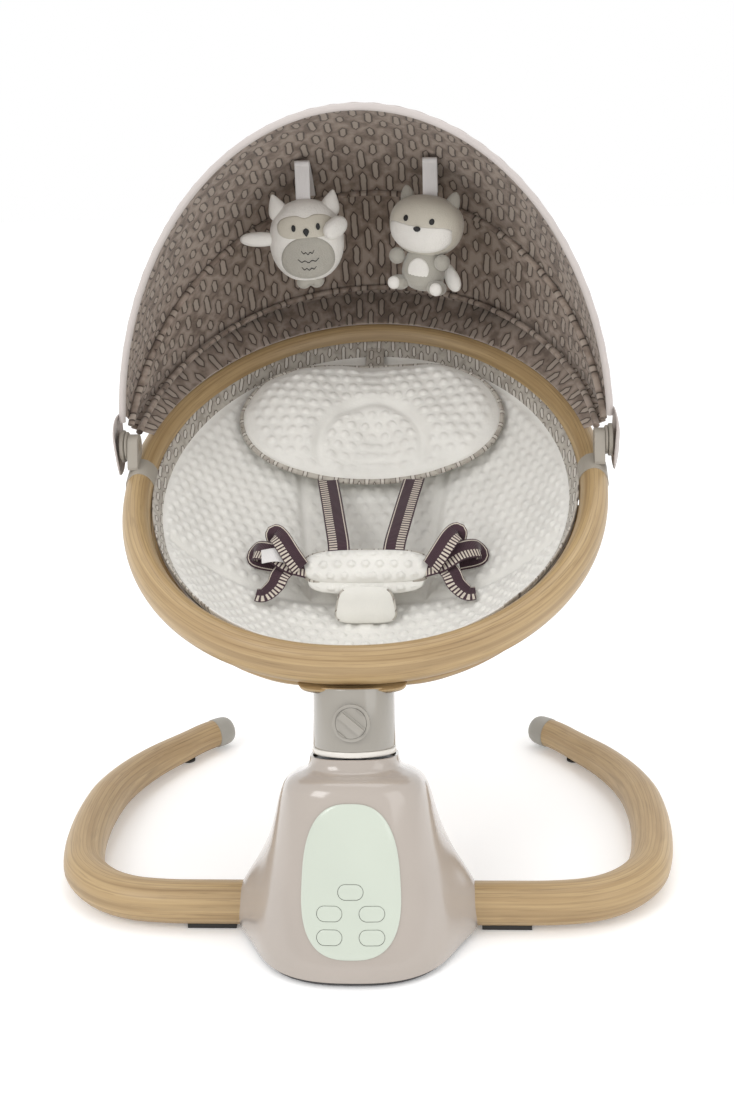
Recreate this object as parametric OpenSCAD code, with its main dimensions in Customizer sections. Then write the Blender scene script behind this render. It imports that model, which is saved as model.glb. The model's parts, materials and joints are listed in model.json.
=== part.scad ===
// Baby swing: a seat ring with a folding canopy on a neck that swings about a leaning axis.
// Millimetres, +Z up, +X to the swing's left as seen from the front, front towards -Y.
// The origin is on the floor under the middle of the swing's bounding box.

/* [Base] */
// Outside width over the two base legs
base_w = 700; // [680:2:720]
// Diameter of a leg where it leaves the housing
leg_d = 46; // [44:0.5:47]
// Diameter of a leg at its rear end
leg_tip_d = 37; // [34:0.5:40]
// Length of the grey cap on a leg's rear end
leg_cap_l = 27; // [20:1:32]
// Wall thickness of the housing
shell_t = 3; // [2.5:0.5:3.5]

/* [Control panel] */
// Width of the control panel
panel_w = 98; // [95:1:101]
// Height of the control panel along its slope
panel_h = 152; // [146:1:154]
// Backward slope of the housing's front face, in degrees
panel_slope = 20; // [19.5:0.5:20.5]

/* [Neck] */
// Backward lean of the neck and of the swing axis, in degrees
neck_lean = 14; // [13.5:0.5:14.5]
// Outside diameter of the neck at its lower end
neck_d = 85; // [84:0.5:86]
// Diameter of the steel shaft that the seat swings on
shaft_d = 20; // [18:1:22]
// Radial clearance of a running fit
running_gap = 0.05; // [0.02:0.01:0.08]

/* [Seat ring] */
// Outside width of the seat ring
ring_w = 563; // [560:1:566]
// Outside length of the seat ring along its slope
ring_l = 681; // [678:1:684]
// Slope of the seat ring, rear end up, in degrees
ring_tilt = 22; // [21.5:0.5:22.5]
// Width of the ring tube's oval section
tube_w = 33; // [31:0.5:34]
// Height of the ring tube's oval section
tube_h = 45; // [43:0.5:46]
// Depth of the seat bowl below the ring
bowl_depth = 130; // [122:1:134]

/* [Canopy] */
// Half width of the canopy at its pivots
hood_half_w = 290; // [289:0.5:292]
// Height of the canopy above its pivots
hood_h = 383.5; // [382:0.5:386]
// Forward lean of the front bow, in degrees
front_bow_lean = 5; // [3:0.5:7]
// Angle of the middle bow behind the vertical
mid_bow_a = 43.5; // [42:0.5:45]
// Angle of the fixed rear bow behind the vertical
rear_bow_a = 67.5; // [66:0.5:69]
// Diameter of a canopy bow
bow_d = 5; // [4:0.5:5]

/* [Hidden] */
$fn = 48;
leg_z = 3 + leg_d / 2;
tenon_r = 17;
middle_y = 264.2;            // middle of the swing's length, from the leg tubes' front run
floor_gap = 2;               // the base plate stands on rubber feet this high
housing_z = 6;               // lower edge of the housing's wall
base_n = 2.6;                // fullness of the housing's outline
axis_z = 150;                // the swing axis crosses y = 0 at this height
neck_z0 = 51;                // lower end of the neck, along the axis
neck_z1 = 115;               // upper end of the neck, along the axis
neck_top_d = neck_d - 1.5;
knob_z = 81;                 // height of the lock knob, along the axis
ring_z = 293;                // height of the ring's front centreline
ring_a = (ring_w - tube_w) / 2;
ring_b = (ring_l - tube_w) / 2;
ring_mid = ring_b - 0.5;     // middle of the ring, along its slope
joint_a = 2.5;               // half the angle that a side bracket's sleeve covers
pivot_y = 300;
pivot_z = 457;
hub_r = 14;
pin_r = 3;
paddle_x = 266;              // inner face of a canopy bracket's paddle
paddle_t = 12;
mid_hub_x = paddle_x + paddle_t + 0.3;
mid_hub_t = 3;
front_hub_x = mid_hub_x + mid_hub_t + 0.3;
front_hub_t = 4;
cover_t = 1.5;               // thickness of a canopy panel
cover_step = 2.5;            // radial step from one panel to the next one inside
sling_t = 3;
pad_t = 10;
key_w = 25;
key_h = 15;
// keys across and up the panel's face, from the panel's centre
KEYS = [[0, -10], [-21, -31], [21, -31], [-21, -54], [21, -54]];
// housing outline by height: [height, lean, half width, front reach, rear reach, middle]
BELL = [
    [housing_z, 0, 107, 123.5, 97, 0], [12, 0, 107.5, 123, 97, 0], [26, 0, 107, 120, 96, 0],
    [58, 0, 102, 108, 91, 0], [88, 1, 94.5, 96.5, 85, 0], [110, 3, 88.5, 88.5, 79.5, 0],
    [132, 6, 83, 81, 73.5, 1], [150, 9, 78.5, 75, 69, 2.5], [163, 12, 74, 70.5, 65, 4],
    [170, 13.5, 69, 65.5, 61, 5], [174.5, 14, 62, 59.5, 57, 6.1], [177.5, 14, 54, 53, 52, 6.9],
    [181, 14, 48.6, 48.6, 48.6, 7.7], [186, 14, 46.4, 46.4, 46.4, 9],
    [191.7, 14, 45.6, 45.6, 45.6, 10.4],
];
// left leg's centreline seen from above, from its housing socket to its rear end
LEG = [
    [-104, 0], [-150, 0], [-205, 1], [-247, 9], [-280, 29], [-306, 62], [-318, 100],
    [-325, 150], [-327, 205], [-323, 262], [-311, 314], [-291, 364], [-266, 407],
    [-236, 453], [-203, 483],
];
// a support arm's centreline in the ring's frame: [across, along, below]
ARM = [
    [51, 25, -33], [68, 27, -33], [90, 36, -34.5], [120, 56, -38], [152, 86, -42],
    [180, 123, -45], [205, 168, -46], [225, 215, -45], [240, 262, -42], [250, 306, -40],
];

// ---- frames -------------------------------------------------------------------------

module placed() { translate([0, -middle_y, 0]) children(); }

// z runs up the leaning swing axis
module on_neck() { placed() translate([0, 0, axis_z]) rotate([-neck_lean, 0, 0]) children(); }

// y runs up the ring's slope and z is square to the ring
module on_ring() { placed() translate([0, 0, ring_z]) rotate([ring_tilt, 0, 0]) children(); }

// z runs from the canopy's pivots out to its crown, at an angle behind the vertical
module on_hood(angle) {
    placed() translate([0, pivot_y, pivot_z]) rotate([-angle, 0, 0]) children();
}

// x across the panel, y up its slope, z out of the housing's front face
module on_panel() {
    placed() translate([0, -93.5, 100.6]) rotate([90 - panel_slope, 0, 0]) children();
}

module both_sides() { for (side = [0, 1]) mirror([side, 0, 0]) children(); }

// ---- shared shapes ------------------------------------------------------------------

function power(base, exponent) = sign(base) * pow(abs(base), exponent);

function smooth(points, steps) = let (last = len(points) - 1) [
    for (i = [0 : last - 1]) for (k = [0 : steps - 1]) let (
        t = k / steps, a = points[max(i - 1, 0)], b = points[i], c = points[i + 1],
        d = points[min(i + 2, last)]
    ) 0.5 * (2 * b + (c - a) * t + (2 * a - 5 * b + 4 * c - d) * t * t
        + (3 * b - a - 3 * c + d) * t * t * t),
    points[last],
];

// A solid swept along points: up is square to the path, w and h are each section's size
module sweep(points, up, w, h, sides = 16) {
    last = len(points) - 1;
    function along(i) = let (d = points[min(i + 1, last)] - points[max(i - 1, 0)]) d / norm(d);
    function section(i) = let (
        t = along(i), c = cross(t, up), side = c / norm(c), rise = cross(side, t)
    ) [for (k = [0 : sides - 1]) points[i] + side * w[i] / 2 * cos(360 * k / sides)
        + rise * h[i] / 2 * sin(360 * k / sides)];
    walls = [for (i = [0 : last - 1]) for (k = [0 : sides - 1]) let (n = (k + 1) % sides)
        [i * sides + k, i * sides + n, (i + 1) * sides + n, (i + 1) * sides + k]];
    ends = [[for (k = [0 : sides - 1]) sides - 1 - k], [for (k = [0 : sides - 1]) last * sides + k]];
    polyhedron([for (i = [0 : last]) each section(i)], concat(walls, ends), convexity = 6);
}

// A closed solid through rings of points that all have the same count
module loft(rings) {
    last = len(rings) - 1;
    count = len(rings[0]);
    walls = [for (i = [0 : last - 1]) for (k = [0 : count - 1]) let (n = (k + 1) % count)
        [i * count + k, (i + 1) * count + k, (i + 1) * count + n, i * count + n]];
    ends = [[for (k = [0 : count - 1]) k], [for (k = [0 : count - 1]) (last + 1) * count - 1 - k]];
    polyhedron([for (r = rings) each r], concat(walls, ends), convexity = 4);
}

module pill(w, h, t) {
    linear_extrude(t) {
        square([w - h, h], center = true);
        for (side = [-1, 1]) translate([side * (w - h) / 2, 0]) circle(d = h);
    }
}

module along_x(r, x0, x1) { translate([x0, 0, 0]) rotate([0, 90, 0]) cylinder(r = r, h = x1 - x0); }

// A flat strap between two points, w wide and t thick
module strap(from, to, w, t) {
    d = to - from;
    translate(from) rotate([0, acos(d.z / norm(d)), atan2(d.y, d.x)])
        translate([-t / 2, -w / 2, 0]) cube([t, w, norm(d)]);
}

// ---- base ---------------------------------------------------------------------------

// One level of the housing, grown or shrunk by extra; its sides flare into the leg sockets
function bell_ring(row, extra, sides = 48) = [for (k = [0 : sides - 1]) let (
    a = 360 * k / sides,
    y = power(sin(a), 2 / base_n) * ((sin(a) < 0 ? row[3] : row[4]) + extra),
    flare = 24 * exp(-pow(y / 40, 2) - pow((row[0] - 26) / 48, 2)),
    x = power(cos(a), 2 / base_n) * (row[2] + extra) + sign(cos(a)) * flare * min(1, 4 * abs(cos(a)))
) [x, row[5] + y * cos(row[1]), row[0] - y * sin(row[1])]];

module bell(extra, rows) { loft([for (i = rows) bell_ring(BELL[i], extra)]); }

// The housing's wall: up the outside and down the inside, open at the floor and at the collar
module bell_wall() {
    rings = concat([for (row = BELL) bell_ring(row, 0)],
        [for (i = [len(BELL) - 1 : -1 : 0]) bell_ring(BELL[i], -shell_t)]);
    count = len(rings[0]);
    size = len(rings);
    polyhedron([for (r = rings) each r], [for (i = [0 : size - 1]) for (k = [0 : count - 1]) let (
        n = (k + 1) % count, j = (i + 1) % size
    ) [i * count + k, j * count + k, j * count + n, i * count + n]], convexity = 8);
}

// a cylinder along the swing axis between two heights
module axis_rod(r, z0, z1) { translate([0, 0, z0]) cylinder(r = r, h = z1 - z0); }

module key_places() { for (k = KEYS) translate([k.x, k.y, 0]) children(); }

module base_housing() {
    color([0.78, 0.72, 0.69]) difference() {
        union() {
            placed() bell_wall();
            placed() screw_places() translate([0, 0, housing_z]) cylinder(r = 8, h = 18);
        }
        placed() screw_places() cylinder(r = 2.05, h = 20);
        placed() both_sides() translate([0, 0, leg_z]) along_x(leg_d / 2 + 0.4, 90, 150);
        on_panel() key_places() translate([0, 0, -12]) pill(key_w + 0.8, key_h + 0.8, 24);
        placed() translate([0, 70, 40]) rotate([-90, 0, 0]) cylinder(d = 15, h = 40);
    }
}

module base_outline(w, front, rear) {
    polygon([for (k = [0 : 47]) let (a = 360 * k / 48) [power(cos(a), 2 / base_n) * w,
        power(sin(a), 2 / base_n) * (sin(a) < 0 ? front : rear)]]);
}

module screw_places() {
    for (p = [[-82, -78], [82, -78], [-81, 61], [81, 61]]) translate([p.x, p.y, 0]) children();
}

module base_plate() {
    color([0.35, 0.34, 0.34]) placed() difference() {
        translate([0, 0, floor_gap]) linear_extrude(3.8) base_outline(103, 121, 94.5);
        screw_places() translate([0, 0, 1]) cylinder(r = 2.1, h = 8);
    }
}

module base_feet() {
    color([0.12, 0.12, 0.12]) placed()
        for (p = [[-52, -82], [52, -82], [-56, 66], [56, 66]])
            translate([p.x, p.y, 0]) cylinder(r = 9, h = floor_gap);
}

module housing_screws() {
    color("silver") placed() screw_places() {
        translate([0, 0, 0.8]) cylinder(r = 3.8, h = 1.2);
        translate([0, 0, 1.5]) cylinder(r = 2, h = 12);
    }
}

leg_path = smooth([for (p = LEG) [p.x * base_w / 700, p.y]], 3);
leg_last = len(leg_path) - 1;
cap_from = leg_last - 2;
function leg_size(i) = let (y = leg_path[i].y)
    y < 250 ? leg_d : leg_d - (leg_d - leg_tip_d) * min(1, (y - 250) / 180);
function leg_point(i) = [leg_path[i].x, leg_path[i].y, 3 + leg_size(i) / 2];

module leg_tube() {
    size = [for (i = [0 : cap_from]) leg_size(i)];
    sweep([for (i = [0 : cap_from]) leg_point(i)], [0, 0, 1], size, size);
}

// the cap follows the leg, a touch thicker, and rounds off at its end
module leg_cap() {
    tip = leg_point(cap_from);
    ahead = (tip - leg_point(cap_from - 1)) / norm(tip - leg_point(cap_from - 1));
    shape = [[0.15, 1.03], [leg_cap_l * 0.55, 1.03], [leg_cap_l * 0.8, 0.97],
        [leg_cap_l * 0.94, 0.82], [leg_cap_l, 0.55]];
    size = [for (s = shape) leg_tip_d * s[1]];
    sweep([for (s = shape) tip + ahead * s[0]], [0, 0, 1], size, size);
}

// the leg's front end carries a tenon that plugs into a socket inside the housing
module leg() {
    leg_tube();
    translate([0, 0, leg_z]) along_x(tenon_r, -108, -74);
}

module leg_socket() {
    difference() {
        translate([-98, -25, housing_z - 0.1]) cube([30, 50, 44]);
        translate([0, 0, leg_z]) along_x(tenon_r + 0.3, -100, -72);
    }
}

module leg_left() { color([0.80, 0.66, 0.46]) placed() leg(); }
module leg_right() { color([0.80, 0.66, 0.46]) placed() mirror([1, 0, 0]) leg(); }
module leg_socket_left() { color([0.35, 0.34, 0.34]) placed() leg_socket(); }
module leg_socket_right() { color([0.35, 0.34, 0.34]) placed() mirror([1, 0, 0]) leg_socket(); }
module leg_cap_left() { color([0.62, 0.62, 0.60]) placed() leg_cap(); }
module leg_cap_right() { color([0.62, 0.62, 0.60]) placed() mirror([1, 0, 0]) leg_cap(); }

// saddle pads under the front runs, and round pads under the legs' rear ends
module leg_pads() {
    tip = leg_point(cap_from - 3);
    color([0.2, 0.2, 0.2]) placed() both_sides() {
        difference() {
            translate([-182, -10, 0]) cube([52, 20, 6]);
            translate([0, 0.3, leg_z]) along_x(leg_d / 2 + 0.4, -190, -120);
        }
        translate([tip.x, tip.y, 0]) cylinder(r = 9, h = 2.9);
    }
}

// ---- control panel and what is inside the base --------------------------------------

module panel_outline(w, h) {
    polygon([for (k = [0 : 47]) let (a = 360 * k / 48, y = power(sin(a), 2 / 2.7) * h / 2)
        [power(cos(a), 2 / 2.7) * w / 2 * (1 - 0.06 * y / (h / 2)), y]]);
}

module control_panel() {
    color([0.86, 0.90, 0.86]) difference() {
        intersection() {
            placed() bell(2.4, [0 : len(BELL) - 1]);
            on_panel() translate([0, 0, -20]) linear_extrude(40) panel_outline(panel_w, panel_h);
        }
        placed() bell(0.2, [0 : len(BELL) - 1]);
        on_panel() key_places() translate([0, 0, -12]) pill(key_w + 0.6, key_h + 0.6, 24);
    }
}

module key(index) {
    color([0.82, 0.86, 0.83]) on_panel()
        translate([KEYS[index].x, KEYS[index].y, -3.2]) pill(key_w, key_h, 6.4);
}

module key_power() { key(0); }
module key_swing() { key(1); }
module key_music() { key(2); }
module key_timer() { key(3); }
module key_volume() { key(4); }

module circuit_board() {
    color([0.1, 0.4, 0.2]) on_panel() {
        translate([-34, -64, -10]) cube([68, 66, 1.6]);
        key_places() translate([-3, -3, -8.5]) cube([6, 6, 4.4]);
    }
}

module speaker() {
    color([0.15, 0.15, 0.16]) on_panel() translate([0, 34, -34]) {
        cylinder(r = 20, h = 4);
        translate([0, 0, -12]) cylinder(r = 12, h = 12.5);
    }
}

module power_inlet() {
    color([0.1, 0.1, 0.1]) placed() translate([0, 74, 40]) rotate([-90, 0, 0]) difference() {
        union() {
            cylinder(d = 14.4, h = 24);
            translate([0, 0, 21.6]) cylinder(d = 19, h = 1.8);
        }
        translate([0, 0, 4]) cylinder(d = 5.6, h = 21);
        translate([0, 0, -1]) cylinder(d = 2, h = 2);
    }
}

module lower_bearing_block() {
    color([0.7, 0.7, 0.72]) difference() {
        intersection() {
            on_neck() axis_rod(30, -165, -74);
            placed() translate([-60, -90, 5.9]) cube([120, 150, 100]);
        }
        on_neck() axis_rod(21, -88, -70);
        on_neck() axis_rod(13, -100, -80);
    }
}

module upper_bearing_plate() {
    color([0.7, 0.7, 0.72]) on_neck() difference() {
        union() {
            axis_rod(27, 14, 38);
            axis_rod(42.1, 33, 38);
        }
        axis_rod(21, 13, 32);
        axis_rod(13, 30, 39);
    }
}

module bearing(z0) {
    on_neck() difference() {
        axis_rod(21, z0, z0 + 12);
        axis_rod(shaft_d / 2 + running_gap, z0 - 1, z0 + 13);
    }
}

module lower_bearing() { color("silver") bearing(-88); }
module upper_bearing() { color("silver") bearing(20); }

module drive_coil() {
    color([0.75, 0.4, 0.15]) placed() translate([0, 46, 5.9]) difference() {
        cylinder(r = 24, h = 22);
        translate([0, 0, 3]) cylinder(r = 9, h = 20);
    }
}

// ---- neck and swing mechanism -------------------------------------------------------

module swing_shaft() { color("silver") on_neck() axis_rod(shaft_d / 2, -86, 72); }

module magnet_arm() {
    color([0.6, 0.6, 0.62]) on_neck() difference() {
        union() {
            axis_rod(16, -58, -46);
            translate([-9, 0, -56]) cube([18, 62, 8]);
        }
        axis_rod(shaft_d / 2 + 0.01, -60, -40);
    }
}

module drive_magnet() {
    color([0.3, 0.3, 0.32]) on_neck() translate([-14, 48, -66]) cube([28, 14, 10]);
}

module neck() {
    color([0.76, 0.70, 0.68]) on_neck() difference() {
        translate([0, 0, neck_z0])
            cylinder(d1 = neck_d, d2 = neck_top_d, h = neck_z1 - neck_z0);
        difference() {
            translate([0, 0, neck_z0 + 4])
                cylinder(d1 = neck_d - 8, d2 = neck_top_d - 8, h = neck_z1 - neck_z0 - 8);
            axis_rod(16, neck_z0, 76);
        }
        axis_rod(shaft_d / 2 + 0.01, 40, 72);
        translate([0, 0, knob_z]) rotate([90, 0, 0]) cylinder(r = 4 + running_gap, h = 60);
    }
}

module neck_trim_ring() {
    color([0.88, 0.86, 0.84]) on_neck() difference() {
        axis_rod(neck_d / 2 + 1, 45, neck_z0);
        axis_rod(34, 44, 56);
    }
}

// z points out of the neck's front
module at_knob() { on_neck() translate([0, 0, knob_z]) rotate([90, 0, 0]) children(); }

module knob_bezel() {
    color([0.80, 0.74, 0.71]) difference() {
        at_knob() cylinder(d = 38, h = 46.5);
        at_knob() translate([0, 0, 38]) cylinder(d = 31.6, h = 10);
        at_knob() translate([0, 0, 20]) cylinder(r = 6, h = 24);
        on_neck() translate([0, 0, neck_z0])
            cylinder(d1 = neck_d + 0.1, d2 = neck_top_d + 0.1, h = neck_z1 - neck_z0);
    }
}

module lock_knob() {
    color([0.80, 0.75, 0.72]) at_knob() {
        difference() {
            translate([0, 0, 43]) cylinder(d = 31, h = 5);
            for (side = [-1, 1]) rotate([0, 0, -40]) translate([-20, side * 10 - 4.5, 46.5])
                cube([40, 9, 3]);
        }
        rotate([0, 0, -40]) translate([-14, -3.5, 46]) cube([28, 7, 6]);
        translate([0, 0, 30]) cylinder(r = 4, h = 14);
    }
}

// wedge between the neck's round top and the flat under the ring's front, and the arms' root
// disc on the neck's top and the wedge behind the ring's front tube that it carries
module seat_adaptor() {
    color([0.80, 0.66, 0.46]) {
        on_neck() axis_rod(44, neck_z1 + 0.1, neck_z1 + 2.4);
        hull() on_ring() {
            translate([-48, 2, -26]) cube([96, 24, 2.2]);
            translate([-48, 14, -38.8]) cube([96, 12, 2]);
        }
    }
}

// ---- seat ring ----------------------------------------------------------------------

function ring_point(a) = let (full = a < 0 ? 2.15 : 1.95)
    [ring_a * power(cos(a), 2 / full), ring_mid + ring_b * power(sin(a), 2 / full), 0];

module ring_tube(a0, a1, steps, grow) {
    points = [for (i = [0 : steps]) ring_point(a0 + (a1 - a0) * i / steps)];
    sweep(points, [0, 0, 1], [for (p = points) tube_w + grow], [for (p = points) tube_h + grow]);
}

module ring_front() {
    color([0.80, 0.66, 0.46]) on_ring() ring_tube(-180 + joint_a, -joint_a, 34, 0);
}
module ring_rear() {
    color([0.80, 0.66, 0.46]) on_ring() ring_tube(joint_a, 180 - joint_a, 34, 0);
}

// sleeve over the ring's joint, with the paddle that carries the canopy's pivot
module ring_bracket() {
    difference() {
        union() {
            on_ring() ring_tube(-joint_a + 0.12, joint_a - 0.12, 4, 3);
            hull() {
                placed() translate([0, pivot_y, pivot_z])
                    along_x(hub_r, paddle_x, paddle_x + paddle_t);
                on_ring() translate([paddle_x, ring_mid - 10, 22.9]) cube([paddle_t, 19.5, 4]);
            }
            on_ring() translate([244, ring_mid - 11.5, -26.5]) cube([16, 23, 10]);
        }
        placed() translate([0, pivot_y, pivot_z])
            along_x(pin_r + 0.01, paddle_x - 1, paddle_x + 20);
        placed() translate([0, pivot_y, pivot_z]) along_x(5, paddle_x - 1, paddle_x + 3);
    }
}

module ring_bracket_right() { color([0.66, 0.64, 0.60]) ring_bracket(); }
module ring_bracket_left() { color([0.66, 0.64, 0.60]) mirror([1, 0, 0]) ring_bracket(); }

module pivot_screws() {
    end_x = front_hub_x + front_hub_t;
    color("silver") placed() both_sides() translate([0, pivot_y, pivot_z]) {
        along_x(pin_r, paddle_x, end_x + 0.5);
        along_x(4.9, paddle_x, paddle_x + 2.8);
        along_x(7, end_x + 0.3, end_x + 2.5);
    }
}

module support_arm() {
    points = smooth(ARM, 3);
    size = [for (p = points) 27];
    sweep(points, [0, 0, 1], size, size, 12);
}

module support_arm_right() { color([0.80, 0.66, 0.46]) on_ring() support_arm(); }
module support_arm_left() { color([0.80, 0.66, 0.46]) on_ring() mirror([1, 0, 0]) support_arm(); }

// ---- seat ---------------------------------------------------------------------------

bowl_mid = 205;              // deepest point of the bowl, along the slope
rim_a = ring_a - tube_w / 2 - 4.5;
rim_b = ring_b - tube_w / 2 - 4.5;
rim_rise = 6;

// distance from the bowl's deepest point to its rim in one direction
function rim_reach(a) = let (
    off = bowl_mid - ring_mid,
    qa = pow(cos(a) / rim_a, 2) + pow(sin(a) / rim_b, 2),
    qb = 2 * off * sin(a) / (rim_b * rim_b),
    qc = pow(off / rim_b, 2) - 1
) (-qb + sqrt(qb * qb - 4 * qa * qc)) / (2 * qa);

function bowl_level(t, a) = -bowl_depth * (1 - pow(t, 2.45 - 0.75 * pow(max(0, sin(a)), 1.5)))
    + rim_rise * pow(t, 10);

function bowl_point(t, a, drop) = let (r = rim_reach(a) * t)
    [r * cos(a), bowl_mid + r * sin(a), bowl_level(t, a) - drop];

// the layer of the bowl between two depths under its face
module bowl_layer(drop, thick, around = 32, rows = 9) {
    function face(d) = [[0, bowl_mid, -bowl_depth - d],
        for (i = [1 : rows]) for (k = [0 : around - 1]) bowl_point(i / rows, 360 * k / around, d)];
    size = 1 + rows * around;
    function at(i, k) = 1 + (i - 1) * around + k % around;
    top = concat(
        [for (k = [0 : around - 1]) [0, at(1, k + 1), at(1, k)]],
        [for (i = [1 : rows - 1]) for (k = [0 : around - 1]) for (half = [0, 1]) half == 0
            ? [at(i, k), at(i, k + 1), at(i + 1, k + 1)]
            : [at(i, k), at(i + 1, k + 1), at(i + 1, k)]]);
    bottom = [for (f = top) [for (j = [len(f) - 1 : -1 : 0]) f[j] + size]];
    rim = [for (k = [0 : around - 1])
        [at(rows, k), at(rows, k + 1), at(rows, k + 1) + size, at(rows, k) + size]];
    polyhedron(concat(face(drop), face(drop + thick)), concat(top, bottom, rim), convexity = 6);
}

module seat_pad() { color([0.95, 0.94, 0.92]) on_ring() bowl_layer(0, pad_t); }
module seat_sling() { color([0.72, 0.68, 0.66]) on_ring() bowl_layer(pad_t + 0.4, sling_t); }

module pillow_part(x, rise) {
    translate([x, 0, rise]) scale([1, 1.85, 0.4]) sphere(r = 52, $fn = 24);
}

module head_pillow() {
    color([0.95, 0.94, 0.92]) on_ring() translate([0, 492, -34]) rotate([22, 0, 0])
        for (side = [-1, 1]) hull() {
            pillow_part(0, 0);
            pillow_part(side * 112, 28);
        }
}

module shoulder_strap(side) {
    color([0.25, 0.12, 0.20]) placed()
        strap([side * 52, 385, 375], [side * 34, 294, 339], 26, 2);
}
module shoulder_strap_left() { shoulder_strap(-1); }
module shoulder_strap_right() { shoulder_strap(1); }

module waist_strap(side) {
    color([0.25, 0.12, 0.20]) placed()
        strap([side * 78, 268, 312], [side * 128, 296, 316], 26, 2);
}
module waist_strap_left() { waist_strap(-1); }
module waist_strap_right() { waist_strap(1); }

module belly_pad() {
    color([0.95, 0.94, 0.92]) placed() translate([0, 266, 316]) rotate([52, 0, 0])
        translate([0, 0, -9]) pill(148, 42, 18);
}

module crotch_piece() {
    color([0.95, 0.94, 0.92]) placed() translate([-31, 240, 259.5]) rotate([-8, 0, 0])
        cube([62, 12, 32]);
}

// ---- canopy -------------------------------------------------------------------------

// a bow from hub to hub, nested in by inset, starting clear of its hub's pin
module bow(inset_x, inset_z, from) {
    a = hood_half_w - inset_x;
    b = hood_h - inset_z;
    start = asin(from / b);
    points = [for (i = [0 : 40]) let (u = start + (180 - 2 * start) * i / 40)
        [a * cos(u), 0, b * sin(u)]];
    size = [for (p = points) bow_d];
    sweep(points, [0, 1, 0], size, size, 8);
}

module hub_disc(r, x0, thick) {
    both_sides() difference() {
        along_x(r, x0, x0 + thick);
        along_x(pin_r + running_gap, x0 - 1, x0 + thick + 1);
    }
}

// part of the canopy's dome between two angles behind the vertical
module panel(a0, a1, level) {
    a = hood_half_w - level * cover_step;
    b = hood_h - level * cover_step;
    u0 = asin(36 / b);
    function arc(t, flip) = [for (i = [0 : 24]) let (
        k = flip ? 24 - i : i, u = u0 + (180 - 2 * u0) * k / 24
    ) [(b - t) * sin(u), (a - t) * cos(u)]];
    placed() translate([0, pivot_y, pivot_z]) rotate([0, 90, 0]) rotate([0, 0, 180 - a1])
        rotate_extrude(angle = a1 - a0, $fn = 96) polygon(concat(arc(0, false), arc(cover_t, true)));
}

module canopy_front_bow() {
    color([0.3, 0.3, 0.3]) on_hood(-front_bow_lean) {
        bow(5.3, 5, 11);
        hub_disc(hub_r, front_hub_x, front_hub_t);
    }
}
module canopy_mid_bow() {
    color([0.3, 0.3, 0.3]) on_hood(mid_bow_a) {
        bow(10.2, 8, hub_r + 2.9);
        hub_disc(hub_r + 4, mid_hub_x, mid_hub_t);
    }
}
module canopy_rear_bow() {
    color([0.3, 0.3, 0.3]) on_hood(rear_bow_a) difference() {
        bow(18, 11, 11);
        rotate([0, 90, 0]) cylinder(r = hub_r + 0.1, h = 600, center = true);
    }
}
module canopy_front_panel() {
    color([0.72, 0.65, 0.63]) panel(-front_bow_lean, mid_bow_a, 0);
}
module canopy_rear_panel() { color([0.72, 0.65, 0.63]) panel(mid_bow_a, rear_bow_a, 1); }

// the tail runs from the rear bow down to the crown of the ring's tube
function tail_top(u) = let (a = hood_half_w - 2 * cover_step, b = hood_h - 2 * cover_step)
    [a * cos(u), pivot_y + b * sin(u) * sin(rear_bow_a + 0.8),
        pivot_z + b * sin(u) * cos(rear_bow_a + 0.8)];
function tail_foot(u) = let (p = ring_point(u), lift = tube_h / 2 + 2)
    [p.x, p.y * cos(ring_tilt) - lift * sin(ring_tilt),
        ring_z + p.y * sin(ring_tilt) + lift * cos(ring_tilt)];
function tail_section(u) = let (
    top = tail_top(u), foot = tail_foot(u), c = cross(tail_top(u + 1) - top, foot - top),
    out = c / norm(c) * cover_t
) [top, foot, foot + out, top + out];

module canopy_tail() {
    color([0.72, 0.65, 0.63]) placed()
        loft([for (i = [0 : 30]) tail_section(15 + 150 * i / 30)]);
}

// ---- toys ---------------------------------------------------------------------------

toy_x = 78;
toy_a = 28;                  // the toys' loops, behind the vertical
loop_r = 355;                // the loops' distance from the canopy's pivot axis
toy_y = pivot_y + loop_r * sin(toy_a);
toy_z = pivot_z + loop_r * cos(toy_a);

// webbing tab along the canopy's inside from the middle bow, ending in a round eye
module toy_loop(side) {
    tab_a0 = toy_a - 0.8;
    tab_a1 = mid_bow_a - 2;
    color([0.93, 0.92, 0.90]) {
        placed() translate([0, pivot_y, pivot_z]) rotate([0, 90, 0]) rotate([0, 0, 180 - tab_a1])
            rotate_extrude(angle = tab_a1 - tab_a0, $fn = 96)
                translate([loop_r + 4, side * toy_x - 9]) square([1.6, 18]);
        on_hood(toy_a) translate([side * toy_x, 0, 0]) difference() {
            union() {
                translate([0, 0, loop_r]) along_x(4, -7, 7);
                translate([-7, -2, loop_r + 2.5]) cube([14, 4, 2.5]);
            }
            translate([0, 0, loop_r]) along_x(2.1, -9, 9);
        }
    }
}
module toy_loop_left() { toy_loop(-1); }
module toy_loop_right() { toy_loop(1); }

// the strap hangs from the loop on a pin of its own and carries a rounded soft body
module toy_body(side, drop, tall, wide) {
    placed() translate([side * toy_x, toy_y, toy_z]) {
        along_x(2, -10, 10);
        for (x = [-10, 8]) translate([x, -2.6, -14]) cube([2, 5.2, 16.7]);
        translate([-10, -1, -drop - 6]) cube([20, 2, drop - 6]);
        translate([0, 0, -drop - tall]) rotate_extrude() polygon([
            [0, 0], [wide * 0.24, tall * 0.02], [wide * 0.4, tall * 0.1], [wide * 0.48, tall * 0.24],
            [wide * 0.48, tall * 0.4], [wide * 0.36, tall * 0.56], [wide * 0.42, tall * 0.7],
            [wide * 0.4, tall * 0.84], [wide * 0.24, tall * 0.96], [0, tall],
        ]);
    }
}

module toy_owl() { color([0.93, 0.93, 0.91]) toy_body(-1, 42, 108, 68); }
module toy_fox() { color([0.80, 0.79, 0.77]) toy_body(1, 42, 122, 66); }

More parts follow.
